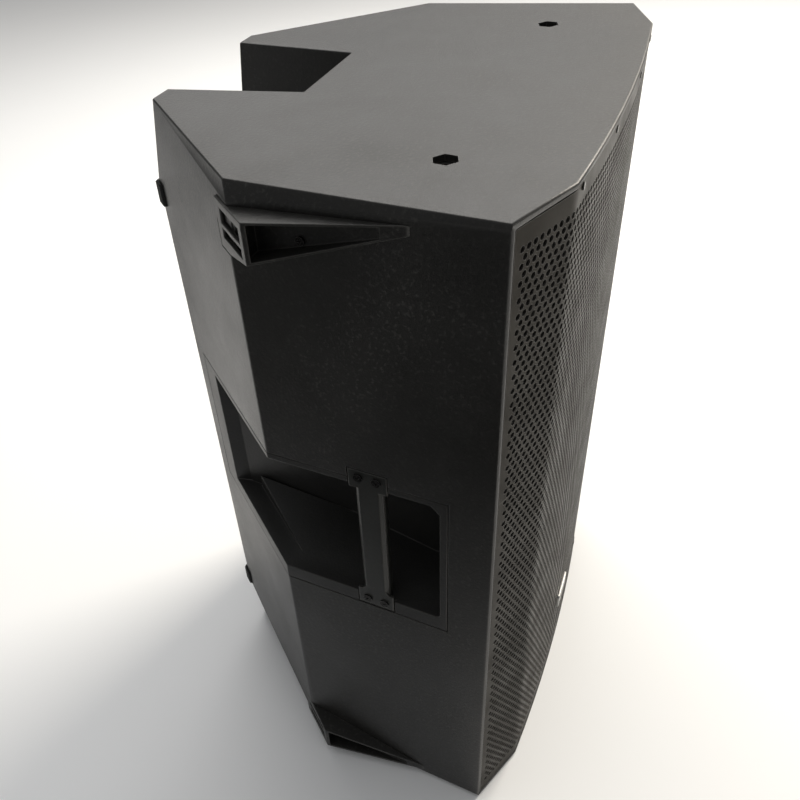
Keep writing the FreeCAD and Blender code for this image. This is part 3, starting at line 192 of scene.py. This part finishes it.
def coat(material, *names):
    """Give CAD nodes a material."""
    for name in names:
        mesh = frame["nodes"][name].data
        mesh.materials.clear()
        mesh.materials.append(material)


def body_holding(name):
    """Body that a CAD node belongs to."""
    bodies = frame["record"]["behaviour"]["bodies"]
    return next(body for body, members in bodies.items() if name in members)


def soften(name, material, radius, longest=0.004, steps=3, crease=15.0):
    """Stand-in for a CAD node with its corners rounded.

    The CAD triangles are joined into flat faces, then every edge that turns by more than 15
    degrees and is longer than a least length is given a round of the stated radius, or less
    where a face beside it is narrow. Edges that turn by more than the crease stay sharp.
    """
    mesh = frame["nodes"][name].data.copy()
    mesh.name = name + "_finished"
    work = bmesh.new()
    work.from_mesh(mesh)
    bmesh.ops.remove_doubles(work, verts=work.verts, dist=1e-5)
    bmesh.ops.dissolve_degenerate(work, edges=work.edges, dist=1e-5)
    bmesh.ops.dissolve_limit(work, angle_limit=0.004, verts=work.verts, edges=work.edges)
    weight = work.edges.layers.float.new("bevel_weight_edge")
    room = {face: 2.0 * face.calc_area() / face.calc_perimeter() for face in work.faces}
    for edge in work.edges:
        turn = math.degrees(edge.calc_face_angle(0.0)) if len(edge.link_faces) == 2 else 0.0
        edge.smooth = turn < crease
        if turn > 15.0 and edge.calc_length() > longest:
            narrow = min(room[face] for face in edge.link_faces)
            edge[weight] = min(1.0, 0.42 * narrow / radius)
            edge.smooth = True
    bmesh.ops.connect_verts_concave(work, faces=work.faces[:])
    for face in work.faces:
        face.smooth = True
    work.to_mesh(mesh)
    work.free()
    mesh.materials.clear()
    mesh.materials.append(material)
    piece = bpy.data.objects.new(mesh.name, mesh)
    bpy.context.scene.collection.objects.link(piece)
    bevel = piece.modifiers.new("rounded corners", "BEVEL")
    bevel.limit_method = "WEIGHT"
    bevel.width = radius
    bevel.segments = steps
    bevel.use_clamp_overlap = False
    bevel.miter_outer = "MITER_SHARP"
    flats = piece.modifiers.new("flat faces", "WEIGHTED_NORMAL")
    flats.mode = "FACE_AREA"
    flats.weight = 100
    flats.keep_sharp = True
    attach(piece, body_holding(name))
    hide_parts(name)
    return piece


shell_plastic = plastic("shell_plastic", (0.0135, 0.0132, 0.0118), 0.43, shell_grain, shell_grain_depth,
                        flecked=0.2)
mark_top_plate(shell_plastic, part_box("cabinet_shell")[1].z)
soften("cabinet_shell", shell_plastic, shell_corner, longest=0.012)

# ---------------------------------------------------------------- baffle
# Moulded front panel in plain black plastic, dropped in against the shell's ledge and screwed
# from the front. Its rails carry the grille, and it holds both drivers and the two ports.
baffle_plastic = plastic("baffle_plastic", (0.012, 0.012, 0.012), 0.55, 0.0007, 0.00006,
                         worn=0.2, scuffed=0.1)
coat(baffle_plastic, "front_baffle")


def metal(name, colour, roughness, grain, depth, stretch=(1.0, 1.0, 1.0), bright=1.0, worn=0.6, dirt=0.4):
    """Metal with a worked surface.

    Fine noise, stretched along one way for a brushed face, drives colour and height; dark clouds
    lie over it as handling marks and set the gloss, and corners are rubbed to bare metal.
    """
    material, tree, shader, place = blank_material(name)
    worked = add(tree, "Mapping", {"Vector": place, "Scale": stretch})[0]
    lines = add(tree, "TexNoise", {"Vector": worked, "Scale": 1.0 / grain, "Detail": 5.0})["Fac"]
    cloud = add(tree, "TexNoise", {"Vector": place, "Scale": 26.0, "Detail": 5.0})["Fac"]
    base = blend_colours(tree, span(tree, lines, 0.3, 0.7), shade(colour, 0.85), shade(colour, 1.12))
    marks = blend_colours(tree, span(tree, cloud, 0.55, 0.75, 0.0, dirt), base, shade(colour, 0.45))
    rub = maths(tree, "MULTIPLY", rubbed_corners(tree, 0.0008), worn)
    final = blend_colours(tree, rub, marks, shade((0.42, 0.41, 0.4)))
    tree.links.new(final, shader.inputs["Base Color"])
    gloss = span(tree, cloud, 0.3, 0.7, roughness - 0.07, roughness + 0.09)
    tree.links.new(gloss, shader.inputs["Roughness"])
    bump = add(tree, "Bump", {"Strength": 0.6, "Distance": depth, "Height": lines})[0]
    tree.links.new(bump, shader.inputs["Normal"])
    shader.inputs["Metallic"].default_value = bright
    return material


# Every screw is black-oxide steel with a cross recess, as the CAD heads already have.
black_screw = metal("black_screw", (0.035, 0.034, 0.033), 0.36, 0.0006, 0.00002, worn=0.5)
coat(black_screw, "baffle_screws")

# ---------------------------------------------------------------- low driver
# Fifteen-inch driver: powder-coated cast frame, ferrite ring magnet between plated steel plates,
# a pressed pulp cone on a doped cloth roll, a felted dust cap and a varnished corrugated spider.
basket_metal = metal("basket_metal", (0.022, 0.022, 0.024), 0.5, 0.0005, 0.00006,
                     bright=0.0, worn=0.3, dirt=0.2)
ferrite = metal("ferrite", (0.05, 0.05, 0.054), 0.62, 0.0009, 0.0001, bright=0.0, worn=0.1)
plated_steel = metal("plated_steel", (0.42, 0.42, 0.4), 0.3, 0.0007, 0.00002, stretch=(1.0, 14.0, 1.0))


def pressed(name, colour, roughness, grain, depth, ring_pitch, ring_depth, centre, tint=1.35):
    """Fibrous pressed or woven material with rings about a driver's axis.

    Fibres are noise at the grain's size. Rings are a wave of the distance from the axis.
    """
    material, tree, shader, place = blank_material(name)
    fibre = add(tree, "TexNoise", {"Vector": place, "Scale": 1.0 / grain, "Detail": 5.0,
                                   "Roughness": 0.7})["Fac"]
    cloud = add(tree, "TexNoise", {"Vector": place, "Scale": 30.0, "Detail": 4.0})["Fac"]
    off = add(tree, "VectorMath", {0: place, 1: centre}, operation="SUBTRACT")[0]
    flat = add(tree, "VectorMath", {0: off, 1: (1.0, 0.0, 1.0)}, operation="MULTIPLY")[0]
    reach = add(tree, "VectorMath", {0: flat}, operation="LENGTH")["Value"]
    ring = maths(tree, "SINE", maths(tree, "MULTIPLY", reach, 2.0 * math.pi / ring_pitch))
    base = blend_colours(tree, span(tree, fibre, 0.3, 0.7), shade(colour, 0.7), shade(colour, tint))
    final = blend_colours(tree, span(tree, cloud, 0.4, 0.7, 0.0, 0.35), base, shade(colour, 0.6))
    tree.links.new(final, shader.inputs["Base Color"])
    gloss = span(tree, fibre, 0.3, 0.7, roughness - 0.08, roughness + 0.08)
    tree.links.new(gloss, shader.inputs["Roughness"])
    height = maths(tree, "ADD", maths(tree, "MULTIPLY", fibre, depth),
                   maths(tree, "MULTIPLY", ring, ring_depth))
    bump = add(tree, "Bump", {"Strength": 0.8, "Distance": 1.0, "Height": height})[0]
    tree.links.new(bump, shader.inputs["Normal"])
    return material


woofer_low, woofer_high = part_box("woofer_frame")
woofer_centre = tuple((woofer_low + woofer_high) / 2)
cone_paper = pressed("cone_paper", (0.02, 0.02, 0.02), 0.8, 0.0012, 0.0001, 0.012, 0.00008, woofer_centre)
surround_cloth = pressed("surround_cloth", (0.03, 0.03, 0.03), 0.55, 0.0008, 0.0001, 0.0011, 0.00004,
                         woofer_centre)
spider_cloth = pressed("spider_cloth", (0.42, 0.27, 0.1), 0.7, 0.0009, 0.0001, 0.0009, 0.00004, woofer_centre)
coil_copper = pressed("coil_copper", (0.5, 0.22, 0.09), 0.35, 0.0006, 0.00002, 0.0004, 0.00002, woofer_centre)
coil_copper.node_tree.nodes["Principled BSDF"].inputs["Metallic"].default_value = 0.9
coat(basket_metal, "woofer_frame")
coat(ferrite, "woofer_magnet")
coat(plated_steel, "woofer_top_plate", "woofer_yoke")
coat(cone_paper, "woofer_cone", "woofer_dust_cap")
coat(surround_cloth, "woofer_surround")
coat(spider_cloth, "woofer_spider")
coat(coil_copper, "woofer_voice_coil")
coat(black_screw, "woofer_screws")

# ---------------------------------------------------------------- high driver
# Moulded horn flare screwed to the baffle, with a painted compression driver bolted to its
# throat under a plastic rear cover.
horn_plastic = plastic("horn_plastic", (0.016, 0.016, 0.016), 0.38, 0.0012, 0.00004, worn=0.2, scuffed=0.2)
driver_metal = metal("driver_metal", (0.03, 0.03, 0.034), 0.45, 0.0006, 0.00005, bright=0.0, worn=0.5)
component_plastic = plastic("component_plastic", (0.018, 0.018, 0.018), 0.5, 0.001, 0.00004, worn=0.3)
coat(horn_plastic, "horn_flare")
coat(driver_metal, "compression_driver")
coat(component_plastic, "driver_rear_cover")
coat(black_screw, "horn_screws", "driver_screws")

# ---------------------------------------------------------------- ports
# Two reflex ports low in the baffle, plain moulded tubes with a lip.
coat(baffle_plastic, "port_tube_left", "port_tube_right")

# ---------------------------------------------------------------- grille
# One bent steel sheet with staggered 5 mm holes on a 7 mm pitch, powder-coated in a warm
# near-black, over a layer of open-cell foam. Plain margins run round the hole field.
corner_half = 0.2413            # where the side wall meets the front, half width
bend_half = 0.1752              # where the flank meets the curved centre, half width
bend_forward = 0.0264           # how far that bend stands in front of the corner
bulge_forward = 0.0342          # how far the middle stands in front of the corner
fold_radius = 0.006             # inside of the sheet's fold at the bend
sheet_thick = 0.0012
hole_pitch = 0.007
hole_radius = 0.0025
hole_sides = 12
row_pitch = hole_pitch * math.sqrt(3.0) / 2.0
first_hole = 0.0145             # corner to the first column, along the flank
hole_margin = 0.0148            # sheet edge to the lowest row
top_margin = 0.0163             # sheet edge to the top row
sheet_bands = 3                 # the sheet is kept in this many meshes, one above another
front_lap = 0.0008              # the sheet's face lies this far inside the outline


def front_line(inwards, count=1600):
    """Plan points of the sheet's face and its outward normals, at even steps of its length.

    The line is a straight flank, an arc through three points and the mirrored flank, moved
    inwards, and each fold is eased by a running average one fold radius long.
    """
    middle_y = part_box("grille_sheet")[0].y + inwards - front_lap
    corner_y = middle_y + bulge_forward - inwards
    sag = bulge_forward - bend_forward
    radius = (bend_half ** 2 + sag ** 2) / (2.0 * sag)
    sweep = math.asin(bend_half / radius)
    angle = np.linspace(-sweep, sweep, 400)
    arc = np.stack([radius * np.sin(angle), corner_y - bulge_forward + radius * (1 - np.cos(angle))], 1)
    run = np.linspace(0.0, 1.0, 80, endpoint=False)[:, None]
    near = np.array([[-corner_half, corner_y]]) * (1 - run) + arc[:1] * run
    line = np.concatenate([near, arc, near[::-1] * (-1.0, 1.0)])
    reach = np.concatenate([[0.0], np.cumsum(np.linalg.norm(np.diff(line, axis=0), axis=1))])
    even = np.linspace(0.0, reach[-1], count)
    points = np.stack([np.interp(even, reach, line[:, n]) for n in (0, 1)], 1)
    window = max(3, int(2 * fold_radius / (reach[-1] / count)) | 1)
    padded = np.pad(points, ((window // 2, window // 2), (0, 0)), mode="reflect", reflect_type="odd")
    kernel = np.ones(window) / window
    points = np.stack([np.convolve(padded[:, n], kernel, mode="valid") for n in (0, 1)], 1)
    along = np.gradient(points, axis=0)
    normal = np.stack([along[:, 1], -along[:, 0]], 1)
    normal /= np.linalg.norm(normal, axis=1)[:, None]
    return even, points - normal * inwards, normal


def perforated_band(low_row, high_row, rows, bottom, top):
    """Vertices and faces of one band of the sheet, a closed plate.

    A lattice a quarter pitch wide and half a row high covers the flattened sheet. Each hole
    takes a block of four by two lattice cells: twelve points on the block's rim are joined to
    the twelve points of the hole, in front and behind, and a wall joins the two faces.
    """
    even, points, normal = front_line(front_lap)
    left = np.interp(-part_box("grille_sheet")[1].x, points[:, 0], even)
    right = even[-1] - left
    quarter = hole_pitch / 4.0
    before = int((first_hole - 2 * quarter - left) / quarter)
    start = first_hole - (2 + before) * quarter
    columns = int((right - start) / quarter)
    s = start + quarter * np.arange(columns + 1)
    s = np.concatenate([[left], s, [right]]) if s[0] - left > 1e-5 else np.concatenate([s, [right]])
    lead = len(s) - 2 - columns
    half_row = row_pitch / 2.0
    first_z = top - top_margin - (rows - 1) * row_pitch
    z = first_z + half_row * np.arange(2 * low_row - 1, 2 * high_row)
    if low_row == 0:
        z = np.concatenate([[bottom, (bottom + z[0]) / 2.0], z])
    if high_row == rows:
        z = np.concatenate([z, [(top + z[-1]) / 2.0, top]])
    skip = 2 if low_row == 0 else 0
    wide, high = len(s), len(z)

    def on_sheet(flat, depth):
        """Flattened places (along, up) carried onto the bent sheet, some way behind its face."""
        x = np.interp(flat[:, 0], even, points[:, 0])
        y = np.interp(flat[:, 0], even, points[:, 1])
        nx = np.interp(flat[:, 0], even, normal[:, 0])
        ny = np.interp(flat[:, 0], even, normal[:, 1])
        return np.stack([x - nx * depth, y - ny * depth, flat[:, 1]], 1)

    row = np.arange(low_row, high_row)
    per_row = int((right - first_hole - 0.5 * hole_pitch - 2 * quarter - 0.004) / hole_pitch) + 1
    column = lead + before + 4 * np.arange(per_row)
    block_i = (column[None, :] + 2 * ((rows - 1 - row[:, None]) % 2)).ravel()
    block_j = np.repeat(skip + 2 * (row - low_row), per_row)
    rim_i = np.array([4, 4, 3, 2, 1, 0, 0, 0, 1, 2, 3, 4])
    rim_j = np.array([1, 2, 2, 2, 2, 2, 1, 0, 0, 0, 0, 0])
    rim = (block_j[:, None] + rim_j) * wide + block_i[:, None] + rim_i
    centre_s = s[block_i + 2]
    centre_z = z[block_j + 1]
    turn = 2 * math.pi * np.arange(hole_sides) / hole_sides
    ring_s = centre_s[:, None] + hole_radius * np.cos(turn)
    ring_z = centre_z[:, None] + hole_radius * np.sin(turn)
    lattice = np.stack(np.meshgrid(s, z), -1).reshape(-1, 2)
    flat = np.concatenate([lattice, np.stack([ring_s.ravel(), ring_z.ravel()], 1)])
    ring = len(lattice) + np.arange(ring_s.size).reshape(ring_s.shape)
    plain = np.ones((high - 1, wide - 1), bool)
    for di in range(4):
        for dj in range(2):
            plain[block_j + dj, block_i + di] = False
    j, i = np.nonzero(plain)
    corner = j * wide + i
    quads = np.stack([corner, corner + 1, corner + wide + 1, corner + wide], 1)
    nxt = np.roll(np.arange(hole_sides), -1)
    collar = np.stack([rim, rim[:, nxt], ring[:, nxt], ring], -1).reshape(-1, 4)
    front = np.concatenate([quads, collar])
    count = len(flat)
    back = front[:, ::-1] + count
    wall = np.stack([ring, ring[:, nxt], ring[:, nxt] + count, ring + count], -1).reshape(-1, 4)
    loop = np.concatenate([
        np.arange(wide), wide * np.arange(1, high) + wide - 1,
        wide * (high - 1) + np.arange(wide - 2, -1, -1), wide * np.arange(high - 2, 0, -1)])
    after = np.roll(loop, -1)
    edge = np.stack([loop, loop + count, after + count, after], 1)
    places = np.concatenate([on_sheet(flat, 0.0), on_sheet(flat, sheet_thick)])
    faces = np.concatenate([front, back, wall, edge])
    used = np.unique(faces)
    renumber = np.zeros(len(places), int)
    renumber[used] = np.arange(len(used))
    return places[used], renumber[faces]


def new_piece(name, places, faces, material, node, smooth=False):
    """Mesh object from arrays, riding with a CAD node's body and finished in its slot."""
    mesh = bpy.data.meshes.new(name)
    mesh.from_pydata(places.tolist(), [], faces.tolist())
    mesh.materials.append(material)
    mesh.polygons.foreach_set("use_smooth", np.full(len(mesh.polygons), smooth))
    mesh.update()
    piece = bpy.data.objects.new(name, mesh)
    bpy.context.scene.collection.objects.link(piece)
    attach(piece, body_holding(node))
    return piece


grille_steel = metal(
    "grille_steel", (0.0125, 0.0105, 0.0072), 0.42, 0.0009, 0.00005, bright=0.0, worn=0.35, dirt=0.3)
powder = grille_steel.node_tree.nodes["Principled BSDF"]
powder.inputs["Specular IOR Level"].default_value = 0.1
powder.inputs["Specular Tint"].default_value = (1.0, 0.84, 0.6, 1.0)
sheet_low, sheet_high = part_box("grille_sheet")
sheet_rows = int((sheet_high.z - sheet_low.z - hole_margin - top_margin) / row_pitch + 0.5) + 1
for band in range(sheet_bands):
    first = round(band * sheet_rows / sheet_bands)
    last = round((band + 1) * sheet_rows / sheet_bands)
    places, faces = perforated_band(first, last, sheet_rows, sheet_low.z, sheet_high.z)
    part = new_piece(f"grille_sheet_band_{band + 1}", places, faces, grille_steel, "grille_sheet")
    if band == 0:
        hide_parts("grille_sheet")
coat(black_screw, "grille_screws")


def foam(name, colour, cell, depth):
    """Open-cell foam: pits one cell wide, with painted shade at their bottoms and a painted highlight on
    their rims.
    """
    material, tree, shader, place = blank_material(name)
    shaded_pits = add(tree, "TexVoronoi", {"Vector": place, "Scale": 1.0 / cell})["Distance"]
    cloud = add(tree, "TexNoise", {"Vector": place, "Scale": 14.0, "Detail": 3.0})["Fac"]
    # painted shade at the pits' bottoms and painted highlight on their rims
    base = blend_colours(tree, span(tree, shaded_pits, 0.1, 0.7), shade(colour, 0.3), shade(colour, 1.5))
    final = blend_colours(tree, span(tree, cloud, 0.4, 0.7, 0.0, 0.4), base, shade(colour, 0.7))
    tree.links.new(final, shader.inputs["Base Color"])
    tree.links.new(span(tree, shaded_pits, 0.1, 0.7, 0.98, 0.86), shader.inputs["Roughness"])
    bump = add(tree, "Bump", {"Strength": 1.0, "Distance": depth, "Height": shaded_pits})[0]
    tree.links.new(bump, shader.inputs["Normal"])
    shader.inputs["Specular IOR Level"].default_value = 0.15
    return material


foam_cloth = foam("foam_cloth", (0.009, 0.008, 0.007), 0.0012, 0.0005)
coat(foam_cloth, "grille_foam")

# ---------------------------------------------------------------- badge
# Small plain plate in brushed aluminium on the middle of the grille, with no mark on it.
badge_metal = metal("badge_metal", (0.5, 0.5, 0.49), 0.32, 0.0016, 0.00002,
                    stretch=(0.05, 1.0, 2.5), dirt=0.2)
soften("front_badge", badge_metal, 0.0005, longest=0.0008, steps=2)

# ---------------------------------------------------------------- handles
# A grained moulded cup in each side wall wraps round the rear edge. A glass-filled nylon grab
# bar crosses it, each end a flat plate held by two screws.
cup_plastic = plastic("cup_plastic", (0.015, 0.015, 0.014), 0.46, 0.0008, 0.00008, worn=0.5)
handle_plastic = plastic("handle_plastic", (0.018, 0.0188, 0.017), 0.36, 0.0016, 0.00005,
                         worn=0.6, scuffed=0.7)
for side in ("left", "right"):
    soften("handle_cup_" + side, cup_plastic, 0.0008, longest=0.0032, steps=2, crease=5.0)
    soften("handle_bar_" + side, handle_plastic, 0.0009, longest=0.0022, steps=3)
coat(black_screw, "handle_screws")

# ---------------------------------------------------------------- wedge feet
# Four ribbed feet in the shell's own plastic stretch the rear chamfer outwards. Each is open
# on its outer face and has two windows in its end.
for side in ("left", "right"):
    for level in ("upper", "lower"):
        soften(f"wedge_foot_{side}_{level}", shell_plastic, 0.0007, longest=0.004, steps=2)
coat(black_screw, "wedge_foot_screws")


# ---------------------------------------------------------------- rubber parts
# Moulded rubber caps on the edges of the rear legs, and four round feet plugged underneath.
def rubber(name, colour, grain, depth):
    """Dull moulded rubber with dusty clouds and a fine pebbled skin."""
    material, tree, shader, place = blank_material(name)
    pebble = add(tree, "TexNoise", {"Vector": place, "Scale": 1.0 / grain, "Detail": 4.0})["Fac"]
    dust = add(tree, "TexNoise", {"Vector": place, "Scale": 55.0, "Detail": 5.0})["Fac"]
    final = blend_colours(tree, span(tree, dust, 0.5, 0.8, 0.0, 0.5), shade(colour),
                          shade((0.07, 0.068, 0.062)))
    tree.links.new(final, shader.inputs["Base Color"])
    tree.links.new(span(tree, dust, 0.3, 0.7, 0.68, 0.9), shader.inputs["Roughness"])
    bump = add(tree, "Bump", {"Strength": 0.7, "Distance": depth, "Height": pebble})[0]
    tree.links.new(bump, shader.inputs["Normal"])
    shader.inputs["Specular IOR Level"].default_value = 0.3
    return material


bumper_rubber = rubber("bumper_rubber", (0.009, 0.009, 0.0095), 0.0009, 0.0001)
soften("rear_bumpers", bumper_rubber, 0.0009, longest=0.0018, steps=3)
coat(bumper_rubber, "bottom_feet")

# ---------------------------------------------------------------- fly points and pole socket
# Zinc-plated steel inserts lie under the two hexagonal recesses of the top plate. The pole
# socket is a moulded tube under the bottom plate, screwed from inside.
insert_steel = metal("insert_steel", (0.16, 0.155, 0.15), 0.4, 0.0006, 0.00003)
coat(insert_steel, "fly_insert_left", "fly_insert_right")
coat(baffle_plastic, "pole_socket")
coat(black_screw, "pole_socket_screws")

# ---------------------------------------------------------------- rear panel
# Powder-coated aluminium panel on the floor of the rear recess, with black-anodised fins,
# jacks, knobs, a rocker, two push buttons and a lamp, and the amplifier board behind it.
panel_paint = metal("panel_paint", (0.02, 0.02, 0.022), 0.48, 0.0006, 0.00006, bright=0.0, worn=0.5, dirt=0.3)
sink_black = metal("sink_black", (0.03, 0.03, 0.032), 0.4, 0.0011, 0.00002,
                   stretch=(2.0, 2.0, 0.06), worn=0.4)
board_green = plastic("board_green", (0.012, 0.06, 0.024), 0.3, 0.0022, 0.00004, worn=0.0, scuffed=0.1)
knob_plastic = plastic("knob_plastic", (0.022, 0.022, 0.022), 0.42, 0.0007, 0.00003, worn=0.6, scuffed=0.2)
jack_plastic = plastic("jack_plastic", (0.013, 0.013, 0.014), 0.33, 0.0009, 0.00002, worn=0.3, scuffed=0.2)
lamp_plastic = plastic("lamp_plastic", (0.06, 0.42, 0.1), 0.15, 0.002, 0.00001, worn=0.0, scuffed=0.0)
soften("amp_panel", panel_paint, 0.0004, longest=0.01, steps=2)
coat(sink_black, "heat_sink")
coat(board_green, "amplifier_board")
coat(plated_steel, "board_standoffs")
coat(component_plastic, "amplifier_coil", "potentiometers", "button_switches")
coat(black_screw, "amp_panel_screws")
for name in ("gain_knob_upper", "gain_knob_lower", "level_knob"):
    soften(name, knob_plastic, 0.0004, longest=0.0006, steps=2)
coat(knob_plastic, "mode_button", "light_button", "power_rocker")
coat(jack_plastic, "combo_jack_upper", "combo_jack_lower", "link_jack", "mains_inlet", "switch_frame")
coat(lamp_plastic, "status_light")


# ---------------------------------------------------------------- studio
# A pale seamless floor, one large soft lamp high on the grille side, a broad ceiling panel
# beyond the cabinet whose sheen lies on the top plate, and a black card on the near side that
# stands in for shade there, seen only in reflections.
floor_half = 9.0
floor_white = (0.92, 0.93, 0.94)


def studio_floor():
    """Flat square floor with a very slight cloudiness, so that it isn't one flat value."""
    corners = np.array([[-1, -1, 0], [1, -1, 0], [1, 1, 0], [-1, 1, 0]], float) * floor_half
    mesh = bpy.data.meshes.new("studio_floor")
    mesh.from_pydata(corners.tolist(), [], [[0, 1, 2, 3]])
    floor = bpy.data.objects.new("studio_floor", mesh)
    bpy.context.scene.collection.objects.link(floor)
    material, tree, shader, place = blank_material("studio_floor")
    cloud = add(tree, "TexNoise", {"Vector": place, "Scale": 1.5, "Detail": 3.0})["Fac"]
    paint = blend_colours(tree, cloud, shade(floor_white, 0.98), shade(floor_white, 1.02))
    tree.links.new(paint, shader.inputs["Base Color"])
    shader.inputs["Roughness"].default_value = 0.9
    mesh.materials.append(material)
    return floor


def soft_lamp(name, place, target, wide, high, watts, tint=(1.0, 1.0, 1.0)):
    """Rectangular soft lamp at a place, aimed at a target."""
    lamp = bpy.data.lights.new(name, "AREA")
    lamp.shape = "RECTANGLE"
    lamp.size = wide
    lamp.size_y = high
    lamp.energy = watts
    lamp.color = tint
    holder = bpy.data.objects.new(name, lamp)
    bpy.context.scene.collection.objects.link(holder)
    start = np.array(place, float)
    aim = np.array(target, float) - start
    aim /= np.linalg.norm(aim)
    side = np.cross(aim, (0.0, 0.0, 1.0))
    side /= np.linalg.norm(side)
    rise = np.cross(side, aim)
    turn = np.eye(4)
    turn[:3, 0] = side
    turn[:3, 1] = rise
    turn[:3, 2] = -aim
    turn[:3, 3] = start
    holder.matrix_world = Matrix(turn.tolist())
    return holder


def camera_at(place, azimuth, elevation, roll, lens, shift):
    """Camera turned to an azimuth from +Y, down by an elevation, and rolled about its view."""
    a, e, r = (math.radians(value) for value in (azimuth, elevation, roll))
    ahead = np.array([math.sin(a) * math.cos(e), math.cos(a) * math.cos(e), -math.sin(e)])
    side = np.cross(ahead, (0.0, 0.0, 1.0))
    side /= np.linalg.norm(side)
    rise = np.cross(side, ahead)
    turn = np.eye(4)
    turn[:3, 0] = math.cos(r) * side + math.sin(r) * rise
    turn[:3, 1] = -math.sin(r) * side + math.cos(r) * rise
    turn[:3, 2] = -ahead
    turn[:3, 3] = place
    camera = bpy.data.cameras.new("camera")
    camera.lens = lens
    camera.sensor_width = 36.0
    camera.shift_x, camera.shift_y = shift
    camera.clip_start = 0.02
    holder = bpy.data.objects.new("camera", camera)
    bpy.context.scene.collection.objects.link(holder)
    holder.matrix_world = Matrix(turn.tolist())
    bpy.context.scene.camera = holder
    return holder


def shade_card(low, high, height):
    """Black card laid low on the near side that stands in for shade there, seen only in reflections."""
    corners = [(low[0], low[1], height), (high[0], low[1], height),
               (high[0], high[1], height), (low[0], high[1], height)]
    mesh = bpy.data.meshes.new("shade_card")
    mesh.from_pydata(corners, [], [[0, 1, 2, 3]])
    card = bpy.data.objects.new("shade_card", mesh)
    bpy.context.scene.collection.objects.link(card)
    material, _, shader, _ = blank_material("shade_card")
    shader.inputs["Base Color"].default_value = (0.01, 0.01, 0.01, 1.0)
    mesh.materials.append(material)
    card.visible_camera = False
    card.visible_shadow = False
    card.visible_diffuse = False
    return card


def pale_world(seen, lit):
    """World that looks one brightness to the camera and lights the object with another."""
    world = bpy.data.worlds.new("studio")
    world.use_nodes = True
    tree = world.node_tree
    watched = add(tree, "LightPath")["Is Camera Ray"]
    strength = span(tree, watched, 0.0, 1.0, lit, seen)
    backdrop = tree.nodes["Background"]
    backdrop.inputs["Color"].default_value = (1.0, 1.0, 1.0, 1.0)
    tree.links.new(strength, backdrop.inputs["Strength"])
    bpy.context.scene.world = world


studio_floor()
middle = (0.0, 0.0, 0.4)
soft_lamp("key_lamp", (2.2, -1.1, 2.4), middle, 1.3, 1.3, 110.0, (1.0, 0.93, 0.82))
soft_lamp("ceiling_panel", (1.9, 0.9, 2.35), (0.0, 0.0, 0.7), 2.4, 1.5, 36.0, (1.0, 0.98, 0.95))
sheet_tilt = 0.001              # a lamp aimed straight down would have no upright direction
soft_lamp("overhead_sheet", (0.0, 0.4, 5.2), (0.0, 0.4 + sheet_tilt, 0.0), 9.0, 9.0, 118.0)
pale_world(1.0, 0.19)
# black card standing in for shade on the near side: painted shade seen only in reflections
shade_card((-2.6, -1.3), (-0.46, 1.6), 0.004)
bpy.context.scene.view_settings.view_transform = "Standard"
camera_at((-0.683, -0.2590, 0.930), 63.47, 40.05, -5.73, 37.5, (0.0726, 0.0332))
